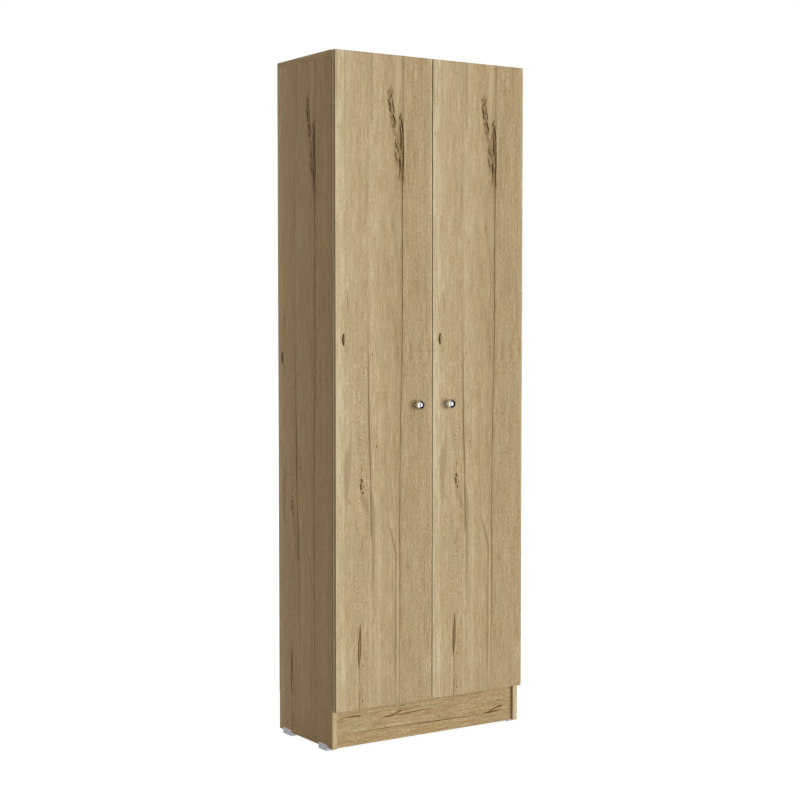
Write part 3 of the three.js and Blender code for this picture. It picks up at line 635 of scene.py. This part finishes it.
def side_painted_shade_and_light(tree, spot, facing, colour):
    """Painted shade on the outer faces: their print is made browner, most of all on the top panel's ends and in two
    bands.
    Painted light on the front edges: they are made a shade paler."""
    front = (facing[1] * -1.0).above(0.6)
    outer = (facing[0] * spot[0]).above(FAR_FROM_MIDDLE)
    # Painted shade on the outer faces, strongest in two bands and on the top panel's ends
    colour = tint_colour(tree, colour, SIDE_PAINTED_SHADE_TINT, outer)
    colour = tint_colour(tree, colour, SIDE_PAINTED_SHADE, spot[1].follow(SIDE_PAINTED_SHADE_SHARES, 0.0, 1.0) * outer)
    colour = tint_colour(tree, colour, TOP_END_PAINTED_SHADE, spot[2].above(TOP_HEIGHT) * outer)
    # Painted light: the front edges made paler
    return tint_colour(tree, colour, FRONT_EDGE_PAINTED_LIGHT, front)


def door_edge_painted_shade_and_light(tree, spot, facing, colour):
    """Painted shade and painted light on the doors' upright edges: the outer edges darker near the front and paler
    near the back, and painted shade on the edges that meet.
    """
    side = abs(facing[0]).above(0.6)
    outer = abs(spot[0]).above(OUTER_EDGE_PLACE) * side
    depth = spot[1] * -1.0 - DOOR_BACK_DEPTH
    # Painted shade on the edges that meet in the gap
    colour = tint_colour(tree, colour, MEETING_EDGE_PAINTED_SHADE, side - outer)
    # Painted shade near the front and painted light near the back of the outer edges
    colour = tint_colour(tree, colour, OUTER_EDGE_PAINTED_SHADE, outer * depth.step(4.0, 9.0))
    return tint_colour(tree, colour, OUTER_EDGE_PAINTED_LIGHT, outer * depth.step(8.0, 3.0))


def hardboard_material(group):
    """Thin back board: brown pressed fibre outside, the pale print inside."""
    material, tree, shader = new_material("hardboard")
    spot, facing, point = place_and_facing(tree)
    x, y, z = spot
    fluff = cloud(tree, x * 0.35, z * 0.35, y, 4.0, 0.7)
    blotch = cloud(tree, x * 0.012, z * 0.012, 4.0, 3.0)
    press = ((x * 2.1).sine() * (z * 2.1).sine())
    brown = tone_ramp(tree, fluff * 0.6 + blotch * 0.4, [
        (0.25, (0.155, 0.090, 0.045)), (0.50, (0.235, 0.140, 0.072)), (0.78, (0.345, 0.220, 0.122)),
    ])
    sheet_node = tree.nodes.new("ShaderNodeGroup")
    sheet_node.node_tree = group
    plug(tree, x * 1.0 + SHEET_WIDTH, sheet_node.inputs["Across"])
    plug(tree, z * 1.0 + 2600.0, sheet_node.inputs["Along"])
    sheet_node.inputs["Sheet"].default_value = 40.0
    sheet_node.inputs["Marks"].default_value = 1.0
    inside = (facing[1] * -1.0).above(0.5)
    tree.links.new(blend_colour(tree, inside, brown, sheet_node.outputs["Color"]), shader.inputs["Base Color"])
    tree.links.new((inside * -0.25 + fluff * 0.1 + 0.72).socket, shader.inputs["Roughness"])
    shader.inputs["Specular IOR Level"].default_value = 0.3
    surface_relief(tree, shader, (press * 0.5 + fluff) * (inside * -0.9 + 1.0), 0.5, 0.15 * MM)
    return material


def plastic_material(name, dark, pale, roughness, grain, see_through=0.0):
    """Moulded plastic: faint clouding in the colour, fine spark grain in the surface."""
    material, tree, shader = new_material(name)
    spot, facing, point = place_and_facing(tree)
    x, y, z = spot
    milk = cloud(tree, x * 0.08, y * 0.08, z * 0.08, 3.0)
    spark = cloud(tree, x * grain, y * grain, z * grain, 2.0, 0.6)
    tree.links.new(tone_ramp(tree, milk, [(0.3, dark), (0.7, pale)]), shader.inputs["Base Color"])
    tree.links.new((spark * 0.16 + roughness - 0.08).socket, shader.inputs["Roughness"])
    shader.inputs["Transmission Weight"].default_value = see_through
    surface_relief(tree, shader, spark, 0.25, 0.06 * MM)
    return material


def chrome_material():
    """Bright chrome: a mirror with hairline wipe marks and a trace of cloud in its gloss."""
    material, tree, shader = new_material("chromed_metal")
    spot, facing, point = place_and_facing(tree)
    x, y, z = spot
    wipe = cloud(tree, x * 1.2, y * 1.2, z * 5.0, 3.0, 0.7)
    haze = cloud(tree, x * 0.1, y * 0.1, z * 0.1, 2.0)
    tree.links.new(tone_ramp(tree, haze, [
        (0.3, (0.78, 0.79, 0.82)), (0.7, (0.86, 0.87, 0.89)),
    ]), shader.inputs["Base Color"])
    shader.inputs["Metallic"].default_value = 1.0
    # Painted dark reflection at the glancing rim
    shader.inputs["Specular Tint"].default_value = CHROME_PAINTED_DARK_RIM
    tree.links.new((wipe.step(0.4, 0.8) * 0.03 + haze * 0.02 + 0.02).socket, shader.inputs["Roughness"])
    return material


def plated_steel_material():
    """Nickel-plated pressed steel: rolled streaks, soft cloud and small scuffs."""
    material, tree, shader = new_material("plated_steel")
    spot, facing, point = place_and_facing(tree)
    x, y, z = spot
    rolled = cloud(tree, x * 0.4, y * 0.12, z * 2.4, 3.0, 0.6)
    soft = cloud(tree, x * 0.06, y * 0.06, z * 0.06, 2.0)
    scuff = cloud(tree, x * 0.8, y * 0.8, z * 0.8, 3.0, 0.7).step(0.62, 0.78)
    tree.links.new(tone_ramp(tree, soft * 0.6 + rolled * 0.4, [
        (0.3, (0.47, 0.46, 0.44)), (0.7, (0.66, 0.65, 0.62)),
    ]), shader.inputs["Base Color"])
    shader.inputs["Metallic"].default_value = 1.0
    tree.links.new((rolled * 0.18 + scuff * 0.15 + 0.20).socket, shader.inputs["Roughness"])
    surface_relief(tree, shader, rolled + scuff * 0.5, 0.15, 0.03 * MM)
    return material


def make_materials():
    group = oak_print_group()
    upright = (1.0, -GLIDE_DROP)
    side_run = (SIDE_ALONG_SCALE, SIDE_ALONG_SHIFT - GLIDE_DROP * SIDE_ALONG_SCALE)
    side_across = (-SIDE_ACROSS_SCALE, SIDE_SHEET_EDGE * SIDE_ACROSS_SCALE)
    door_axes, side_axes, plinth_axes, flat_axes = (2, 0, 1), (2, 1, 0), (0, 2, 1), (0, 1, 2)
    foot_and_back = ((2, -1), (1, 1))
    finishes = {
        "left_door": board_material(
            "left_door_board", group, door_axes, (upright, (1.0, SHEET_WIDTH)), 0.0, 365.0, (), door_edge_painted_shade_and_light),
        "right_door": board_material(
            "right_door_board", group, door_axes, (upright, (1.0, 0.0)), 0.0, 365.0, (), door_edge_painted_shade_and_light),
        "side_panel": board_material(
            "side_board", group, side_axes, (side_run, side_across), 0.0, 355.0, foot_and_back, side_painted_shade_and_light,
            SIDE_MARKS),
        "plinth_board": board_material(
            "plinth_print", group, plinth_axes, ((1.0, 3300.0), (0.7, 214.0)), 52.0, 50.0,
            ((2, -1), (0, 1), (0, -1)), plinth_finish),
    }
    for board, name, along_shift, across_shift, sheet in (
        ("top_panel", "top_board", 900.0, 130.0, 61.0),
        ("bottom_panel", "floor_board", 1800.0, 150.0, 23.0),
        ("lower_adjustable_shelf", "first_shelf_board", 2400.0, 160.0, 71.0),
        ("lower_fixed_shelf", "second_shelf_board", 1200.0, 140.0, 83.0),
        ("upper_adjustable_shelf", "third_shelf_board", 1600.0, 170.0, 97.0),
        ("upper_fixed_shelf", "fourth_shelf_board", 2000.0, 150.0, 103.0),
    ):
        raw = ((1, 1),) if board == "top_panel" else ()
        finishes[board] = board_material(
            name, group, flat_axes, ((1.0, along_shift), (1.0, across_shift)), sheet, 60.0, raw, side_painted_shade_and_light)
    finishes["hardboard"] = hardboard_material(group)
    finishes["pale_plastic"] = plastic_material("pale_plastic", (0.62, 0.58, 0.50), (0.74, 0.70, 0.62), 0.42, 1.6)
    finishes["grey_plastic"] = plastic_material("grey_plastic", (0.74, 0.76, 0.84), (0.86, 0.88, 0.96), 0.35, 2.0)
    finishes["chromed_metal"] = chrome_material()
    finishes["plated_steel"] = plated_steel_material()
    return finishes


def body_of(node):
    for body, members in frame["record"]["behaviour"]["bodies"].items():
        if node in members:
            return body
    raise ValueError(node)


def slot_of(node):
    for row in frame["record"]["subparts"]:
        if row["node"] == node:
            return row["material_slot"]
    raise ValueError(node)


def dress_nodes(materials):
    """Gives every carried-over node its finish, by its own name, its kind or its slot."""
    for name, piece in frame["nodes"].items():
        kind = "side_panel" if name.endswith("side_panel") else name
        material = materials.get(kind) or materials[slot_of(name)]
        piece.data.materials.clear()
        piece.data.materials.append(material)


def mesh_from_grids(name, grids):
    """One mesh from grids of points, rows by columns by 3: each grid's quads run along its rows
    and columns, doubled points are merged, and the faces are turned outwards."""
    corners, faces, start = [], [], 0
    for grid in grids:
        rows, columns = grid.shape[:2]
        index = np.arange(rows * columns).reshape(rows, columns) + start
        quads = np.stack([index[:-1, :-1], index[:-1, 1:], index[1:, 1:], index[1:, :-1]], axis=-1)
        corners.append(grid.reshape(-1, 3))
        faces.append(quads.reshape(-1, 4))
        start += rows * columns
    mesh = bpy.data.meshes.new(name)
    mesh.from_pydata(np.concatenate(corners).tolist(), [], np.concatenate(faces).tolist())
    shape = bmesh.new()
    shape.from_mesh(mesh)
    bmesh.ops.remove_doubles(shape, verts=shape.verts, dist=0.002 * MM)
    bmesh.ops.dissolve_degenerate(shape, dist=0.001 * MM, edges=shape.edges)
    bmesh.ops.recalc_face_normals(shape, faces=shape.faces)
    shape.to_mesh(mesh)
    shape.free()
    return mesh


def add_piece(name, mesh, material, body, sharp_angle=35.0):
    """Puts a finished mesh into the scene as a piece of the object, riding on its body."""
    mesh.polygons.foreach_set("use_smooth", np.ones(len(mesh.polygons), dtype=bool))
    mesh.set_sharp_from_angle(angle=math.radians(sharp_angle))
    mesh.materials.clear()
    mesh.materials.append(material)
    piece = bpy.data.objects.new(name, mesh)
    bpy.context.scene.collection.objects.link(piece)
    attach(piece, body)
    return piece


def turned_grid(profile, sides):
    """A profile of (radius, height) points turned about z: (r cos t, r sin t, h) for t round the circle."""
    turn = np.linspace(0.0, 2.0 * math.pi, sides + 1)
    radius, height = np.asarray(profile, float).T
    x = np.outer(radius, np.cos(turn))
    y = np.outer(radius, np.sin(turn))
    z = np.repeat(height[:, None], sides + 1, axis=1)
    return np.stack([x, y, z], axis=-1)


def laid(grid, place, direction):
    """Moves a grid drawn about z so that its z runs along direction from place, all in metres."""
    z_way = np.asarray(direction, float)
    helper = np.array([0.0, 0.0, 1.0]) if abs(z_way[2]) < 0.9 else np.array([0.0, 1.0, 0.0])
    x_way = np.cross(helper, z_way)
    x_way /= np.linalg.norm(x_way)
    y_way = np.cross(z_way, x_way)
    return grid @ np.stack([x_way, y_way, z_way]) + np.asarray(place, float)


def rounded(profile, radius, steps=3):
    """The profile with every inner corner replaced by a quadratic curve that starts radius before it."""
    points = [np.asarray(p, float) for p in profile]
    line = [points[0]]
    for before, corner, after in zip(points, points[1:], points[2:]):
        back = before - corner
        ahead = after - corner
        cut = min(radius, np.linalg.norm(back) / 2, np.linalg.norm(ahead) / 2)
        start = corner + back / np.linalg.norm(back) * cut
        end = corner + ahead / np.linalg.norm(ahead) * cut
        for t in np.linspace(0.0, 1.0, steps + 1):
            line.append(start * (1 - t) ** 2 + corner * 2 * t * (1 - t) + end * t ** 2)
    line.append(points[-1])
    return np.array(line)


def cross_ring(half_width, half_length, sides):
    """The outline of a cross by angle: for each bar the nearer of its side and its end, and the
    farther of the two bars."""
    turn = np.linspace(0.0, 2.0 * math.pi, sides + 1)
    across = np.maximum(abs(np.sin(turn)), 1e-6)
    along = np.maximum(abs(np.cos(turn)), 1e-6)
    flat_bar = np.minimum(half_width / across, half_length / along)
    tall_bar = np.minimum(half_width / along, half_length / across)
    return turn, np.maximum(flat_bar, tall_bar)


def screw_head_grid(radius, height, recess, depth, sides=48):
    """A domed head with a cross recess: rings go from the seat up over the dome to the mouth of the
    cross, down its walls and in to its floor."""
    turn, cross = cross_ring(recess * 0.30, recess, sides)
    rings = []
    for share in np.linspace(0.0, 1.0, 6):
        angle = share * math.pi / 2 * 0.86
        ring = radius * math.cos(angle * 0.62)
        rings.append((np.full_like(turn, ring), height * math.sin(angle)))
    rim = rings[-1][0][0]
    blend_ring = np.maximum(cross * 1.08, rim * 0.55)
    rings.append((np.minimum(blend_ring, rim * 0.97), height * 0.99))
    rings.append((cross, height))
    rings.append((cross * 0.90, height - depth))
    rings.append((np.zeros_like(turn), height - depth * 1.1))
    grid = np.stack([
        np.stack([r * np.cos(turn), r * np.sin(turn), np.full_like(turn, h)], axis=-1) for r, h in rings
    ])
    return grid


def knob_profile():
    """Foot, waisted neck and ball as (radius, height) points in mm: the waist is a quadratic curve
    from the foot's edge to the neck, and the ball an arc from where the neck meets it to the pole."""
    foot_radius, foot_height, neck_radius = 7.0, 1.6, 5.0
    ball_radius, reach = 12.6, 29.0
    centre = reach - ball_radius
    meet = math.asin(neck_radius / ball_radius)
    neck_top = centre - ball_radius * math.cos(meet)
    foot = [(0.0, 0.0), (foot_radius - 0.3, 0.0), (foot_radius, 0.3), (foot_radius, foot_height - 0.4)]
    t = np.linspace(0.0, 1.0, 14)
    waist_r = foot_radius * (1 - t) ** 2 + neck_radius * (2 * t * (1 - t) + t ** 2)
    waist_h = foot_height * ((1 - t) ** 2 + 2 * t * (1 - t)) + neck_top * t ** 2
    angle = np.linspace(meet, math.pi, 64)[1:]
    ball = np.stack([ball_radius * np.sin(angle), centre - ball_radius * np.cos(angle)], axis=-1)
    return np.concatenate([foot, np.stack([waist_r, waist_h], axis=-1), ball])


def add_knobs(materials):
    """Both knobs as smooth turned pieces in the place of the faceted ones."""
    for side in ("left", "right"):
        low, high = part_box(f"{side}_knob")
        seat = ((low.x + high.x) / 2, high.y, (low.z + high.z) / 2)
        grid = laid(turned_grid(knob_profile() * MM, 96), seat, (0, -1, 0))
        mesh = mesh_from_grids(f"{side}_turned_knob", [grid])
        piece = add_piece(
            f"{side}_turned_knob", mesh, materials["chromed_metal"], f"{side}_door", 50.0,
        )
        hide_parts(f"{side}_knob")


def add_knob_screws(materials):
    """The pan-head screws that hold the knobs, seen inside the doors."""
    for side in ("left", "right"):
        low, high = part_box(f"{side}_knob_screw")
        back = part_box(f"{side}_door")[1].y
        seat = ((low.x + high.x) / 2, back, (low.z + high.z) / 2)
        head = laid(screw_head_grid(4.2 * MM, 2.4 * MM, 2.3 * MM, 1.5 * MM), seat, (0, 1, 0))
        shank = turned_grid(rounded([(0, -23.8), (1.9, -23.8), (1.9, 0.0), (0.0, 0.0)], 0.3) * MM, 24)
        grids = [head, laid(shank, seat, (0, 1, 0))]
        piece = add_piece(
            f"{side}_knob_screw_turned", mesh_from_grids(f"{side}_knob_screw_turned", grids),
            materials["plated_steel"], f"{side}_door",
        )
        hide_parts(f"{side}_knob_screw")


def pressed_copy(node, suffix, materials, edge):
    """A node's shape as one smooth pressed piece with its edges softened, in the node's place."""
    mesh = frame["nodes"][node].data.copy()
    shape = bmesh.new()
    shape.from_mesh(mesh)
    bmesh.ops.remove_doubles(shape, verts=shape.verts, dist=0.002 * MM)
    flat = math.radians(1.0)
    bmesh.ops.dissolve_limit(shape, angle_limit=flat, verts=shape.verts, edges=shape.edges)
    shape.to_mesh(mesh)
    shape.free()
    piece = add_piece(
        f"{node}_{suffix}", mesh, materials[slot_of(node)], body_of(node), 32.0,
    )
    bevel = piece.modifiers.new("soft_edges", "BEVEL")
    bevel.width = edge * MM
    bevel.segments = 2
    bevel.limit_method = "ANGLE"
    bevel.angle_limit = math.radians(40.0)
    bevel.harden_normals = False
    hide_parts(node)
    return piece


def add_hinge_pressings(materials):
    for side in ("left", "right"):
        for place in ("lower", "middle", "upper"):
            for part in ("cup", "arm", "plate"):
                pressed_copy(f"{side}_{place}_hinge_{part}", "pressed", materials, 0.15)


def add_shelf_pins(materials):
    """Turned shelf pins with a rounded collar and peg ends."""
    profile = rounded([
        (0, -8.0), (2.4, -8.0), (2.4, 0), (3.6, 0), (3.6, 1.2), (2.4, 1.2), (2.4, 9.2), (0, 9.2),
    ], 0.35) * MM
    for level in ("lower", "upper"):
        for depth in ("front", "rear"):
            for side in ("left", "right"):
                node = f"{level}_{depth}_{side}_shelf_pin"
                low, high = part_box(node)
                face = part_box(f"{side}_side_panel")[1 if side == "left" else 0].x
                way = 1.0 if side == "left" else -1.0
                seat = (face, (low.y + high.y) / 2, (low.z + high.z) / 2)
                mesh = mesh_from_grids(f"{node}_turned", [laid(turned_grid(profile, 32), seat, (way, 0, 0))])
                piece = add_piece(f"{node}_turned", mesh, materials["plated_steel"], "carcass")
                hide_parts(node)


def add_screws(name, places, direction, sizes, materials, body):
    """A set of equal cross-head screws that face one way, as one piece."""
    radius, height, recess = (size * MM for size in sizes)
    grids = [
        laid(screw_head_grid(radius, height, recess, height * 0.7), place, direction) for place in places
    ]
    add_piece(name, mesh_from_grids(name, grids), materials["plated_steel"], body)


def add_hinge_screws(materials):
    """Two screws through each cup's wings, two through each plate and two on each arm."""
    for side, way in (("left", 1.0), ("right", -1.0)):
        cup_places, plate_places, arm_places = [], [], []
        for level in ("lower", "middle", "upper"):
            low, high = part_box(f"{side}_{level}_hinge_cup")
            middle = (low + high) / 2
            wing_x = middle.x + way * CUP_WING_OFFSET * MM
            for step in (-0.5, 0.5):
                cup_places.append((wing_x, high.y, middle.z + step * CUP_SCREW_SPACING * MM))
            low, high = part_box(f"{side}_{level}_hinge_plate")
            middle = (low + high) / 2
            root = low.x if side == "left" else high.x
            for step in (-0.5, 0.5):
                plate_places.append((
                    root + way * PLATE_WING * MM, middle.y, middle.z + step * PLATE_SCREW_SPACING * MM,
                ))
            low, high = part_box(f"{side}_{level}_hinge_arm")
            middle = (low + high) / 2
            top = high.x if side == "left" else low.x
            for distance in (ARM_FIXING_DISTANCE, ARM_SLOT_DISTANCE):
                arm_places.append((top, high.y - distance * MM, middle.z))
        add_screws(f"{side}_cup_screws", cup_places, (0, 1, 0), (3.6, 1.6, 1.9), materials, f"{side}_door")
        add_screws(f"{side}_plate_screws", plate_places, (way, 0, 0), (4.4, 1.9, 2.2), materials, "carcass")
        add_screws(f"{side}_arm_screws", arm_places, (way, 0, 0), (3.6, 1.7, 1.9), materials, "carcass")


def add_catch_screws(materials):
    places = []
    for side in ("left", "right"):
        low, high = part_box(f"{side}_magnetic_catch")
        for x in (low.x + CATCH_SCREW_INSET * MM, high.x - CATCH_SCREW_INSET * MM):
            places.append((x, high.y - CATCH_WIDTH / 2 * MM, high.z - CATCH_EAR * MM))
    add_screws("catch_screws", places, (0, 0, -1), (2.6, 1.2, 1.4), materials, "carcass")


def add_glide_nails(materials):
    """Flat nail heads, sunk in the glides' holes."""
    profile = rounded([(0, -0.5), (0.9, -0.5), (0.9, 0), (0.0, 0.0)], 0.25) * MM
    grids = []
    for place in ("front", "rear"):
        for side, way in (("left", -1.0), ("right", 1.0)):
            low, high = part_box(f"{place}_{side}_foot")
            face = low.x if side == "left" else high.x
            for step in (-0.5, 0.5):
                spot = (
                    face - way * 0.3 * MM, (low.y + high.y) / 2 + step * GLIDE_NAIL_SPACING * MM,
                    (GLIDE_DROP + GLIDE_FLANGE / 2) * MM,
                )
                grids.append(laid(turned_grid(profile, 16), spot, (way, 0, 0)))
    add_piece("glide_nails", mesh_from_grids("glide_nails", grids), materials["plated_steel"], "carcass")


def add_back_nails(materials):
    """A row of small round nail heads round the back boards and along the fixed shelves."""
    profile = [(2.1, 0.0), (2.0, 0.25), (1.4, 0.45), (0.0, 0.55)]
    head = turned_grid(np.array(profile) * MM, 10)
    low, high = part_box("left_back_panel")
    face = high.y
    side_x = (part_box("right_side_panel")[0].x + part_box("right_side_panel")[1].x) / 2
    bottom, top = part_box("bottom_panel"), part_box("top_panel")
    rows = [(bottom[0].z + bottom[1].z) / 2, (top[0].z + top[1].z) / 2]
    for name in ("lower_fixed_shelf", "upper_fixed_shelf"):
        rows.append(sum(corner.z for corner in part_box(name)) / 2)
    grids = []
    count = round((rows[1] - rows[0]) / (BACK_NAIL_PITCH * MM))
    for z in np.linspace(rows[0], rows[1], count + 1)[1:-1]:
        for x in (-side_x, side_x):
            grids.append(laid(head, (x, face, z), (0, 1, 0)))
    for z in rows:
        for x in np.linspace(-side_x, side_x, 6):
            grids.append(laid(head, (x, face, z), (0, 1, 0)))
    add_piece("back_nails", mesh_from_grids("back_nails", grids), materials["plated_steel"], "carcass")


def add_cams(materials):
    """Cam discs of the board joints: under the fixed boards at their ends and on the side panels under the top."""
    disc = screw_head_grid(7.4 * MM, 0.35 * MM, 3.4 * MM, 0.3 * MM)
    grids = []
    front_panel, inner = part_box("left_side_panel"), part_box("left_side_panel")[1].x
    top_z = front_panel[1].z - CAM_INSET * MM
    y_places = (front_panel[0].y + CAM_END_DISTANCE * MM, front_panel[1].y - CAM_END_DISTANCE * MM)
    for y in y_places:
        grids.append(laid(disc, (inner, y, top_z), (1, 0, 0)))
        grids.append(laid(disc, (-inner, y, top_z), (-1, 0, 0)))
        for board in ("bottom_panel", "lower_fixed_shelf", "upper_fixed_shelf"):
            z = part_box(board)[0].z
            for x in (inner + CAM_INSET * MM, -inner - CAM_INSET * MM):
                grids.append(laid(disc, (x, y, z), (0, 0, -1)))
    add_piece("cam_discs", mesh_from_grids("cam_discs", grids), materials["plated_steel"], "carcass")


def add_floor():
    """A plain white floor: it glows almost white by itself and keeps the cabinet's soft shadow. It
    doesn't stand in the way of the level lamps."""
    grid = turned_grid([(0.0, 0.0), (FLOOR_RADIUS, 0.0)], 64)
    mesh = bpy.data.meshes.new("floor")
    ring = grid[1, :-1]
    mesh.from_pydata(ring.tolist(), [], [list(range(len(ring)))])
    material, tree, shader = new_material("floor_white")
    shader.inputs["Roughness"].default_value = 0.9
    shader.inputs["Specular IOR Level"].default_value = 0.0
    shader.inputs["Base Color"].default_value = (FLOOR_BOUNCE_TONE,) * 3 + (1.0,)
    glow = tree.nodes.new("ShaderNodeEmission")
    glow.inputs["Strength"].default_value = FLOOR_GLOW
    paper = tree.nodes.new("ShaderNodeBsdfDiffuse")
    paper.inputs["Color"].default_value = (FLOOR_TONE,) * 3 + (1.0,)
    both = tree.nodes.new("ShaderNodeAddShader")
    tree.links.new(glow.outputs[0], both.inputs[0])
    tree.links.new(paper.outputs[0], both.inputs[1])
    choice = tree.nodes.new("ShaderNodeMixShader")
    tree.links.new(seen_ray(tree).socket, choice.inputs[0])
    tree.links.new(shader.outputs[0], choice.inputs[1])
    tree.links.new(both.outputs[0], choice.inputs[2])
    tree.links.new(choice.outputs[0], tree.nodes["Material Output"].inputs["Surface"])
    mesh.materials.append(material)
    floor = bpy.data.objects.new("floor", mesh)
    bpy.context.scene.collection.objects.link(floor)
    floor.visible_shadow = False


def seen_ray(tree):
    """1 for what the camera, a mirror or glass sees."""
    path = tree.nodes.new("ShaderNodeLightPath")
    camera, glossy, through = (
        Field(tree, path.outputs[name]) for name in ("Is Camera Ray", "Is Glossy Ray", "Is Transmission Ray")
    )
    return camera.larger(glossy).larger(through)


def add_world():
    """Even light all round; the background itself shows white."""
    world = bpy.data.worlds.new("studio")
    bpy.context.scene.world = world
    world.use_nodes = True
    tree = world.node_tree
    even = tree.nodes["Background"]
    even.inputs["Color"].default_value = (*AMBIENT_COLOUR, 1.0)
    even.inputs["Strength"].default_value = AMBIENT
    white = tree.nodes.new("ShaderNodeBackground")
    white.inputs["Color"].default_value = (1.0, 1.0, 1.0, 1.0)
    white.inputs["Strength"].default_value = BACKGROUND
    choice = tree.nodes.new("ShaderNodeMixShader")
    tree.links.new(seen_ray(tree).socket, choice.inputs[0])
    tree.links.new(even.outputs[0], choice.inputs[1])
    tree.links.new(white.outputs[0], choice.inputs[2])
    tree.links.new(choice.outputs[0], tree.nodes["World Output"].inputs["Surface"])


def add_lamp(name, lamp):
    """A far soft lamp: light from one way, of which level 1 shows white as white."""
    light = bpy.data.lights.new(name, "SUN")
    light.energy = lamp["level"] * math.pi
    light.angle = math.radians(lamp["softness"])
    holder = bpy.data.objects.new(name, light)
    bpy.context.scene.collection.objects.link(holder)
    x, y, z = lamp["from"]
    flat = math.hypot(x, y)
    holder.rotation_euler = (math.atan2(flat, z), 0.0, math.atan2(-y, -x) - math.pi / 2)
    holder.visible_glossy = False


def add_card(name, corners, tone):
    """A card for polished metal to mirror, unseen by the camera and by all other light."""
    mesh = bpy.data.meshes.new(name)
    mesh.from_pydata(corners, [], [list(range(len(corners)))])
    material, tree, shader = new_material(name)
    shader.inputs["Base Color"].default_value = (tone, tone, tone, 1.0)
    shader.inputs["Specular IOR Level"].default_value = 0.0
    mesh.materials.append(material)
    card = bpy.data.objects.new(name, mesh)
    bpy.context.scene.collection.objects.link(card)
    card.visible_camera = False
    card.visible_diffuse = False
    card.visible_transmission = False
    card.visible_volume_scatter = False
    card.visible_shadow = False


def add_camera():
    data = bpy.data.cameras.new("camera")
    data.lens = CAMERA_LENS
    data.sensor_width = CAMERA_SENSOR
    camera = bpy.data.objects.new("camera", data)
    bpy.context.scene.collection.objects.link(camera)
    camera.location = CAMERA_PLACE
    camera.rotation_euler = (math.radians(CAMERA_TILT), 0.0, math.radians(CAMERA_TURN))
    bpy.context.scene.camera = camera


add_camera()
add_world()
add_floor()
add_lamp("key_lamp", KEY_LAMP)
add_lamp("top_lamp", TOP_LAMP)
add_lamp("back_lamp", BACK_LAMP)
add_card("right_flag", FLAG_RIGHT, FLAG_TONE)
add_card("flag_above", FLAG_ABOVE, FLAG_TONE)
add_card("flag_below", FLAG_BELOW, FLAG_TONE)
add_card("front_bar", FLAG_BAR, BAR_TONE)
bpy.context.scene.view_settings.view_transform = "Standard"

finishes = make_materials()
dress_nodes(finishes)
add_knobs(finishes)
add_knob_screws(finishes)
add_hinge_pressings(finishes)
add_shelf_pins(finishes)
add_hinge_screws(finishes)
add_catch_screws(finishes)
add_glide_nails(finishes)
add_back_nails(finishes)
add_cams(finishes)
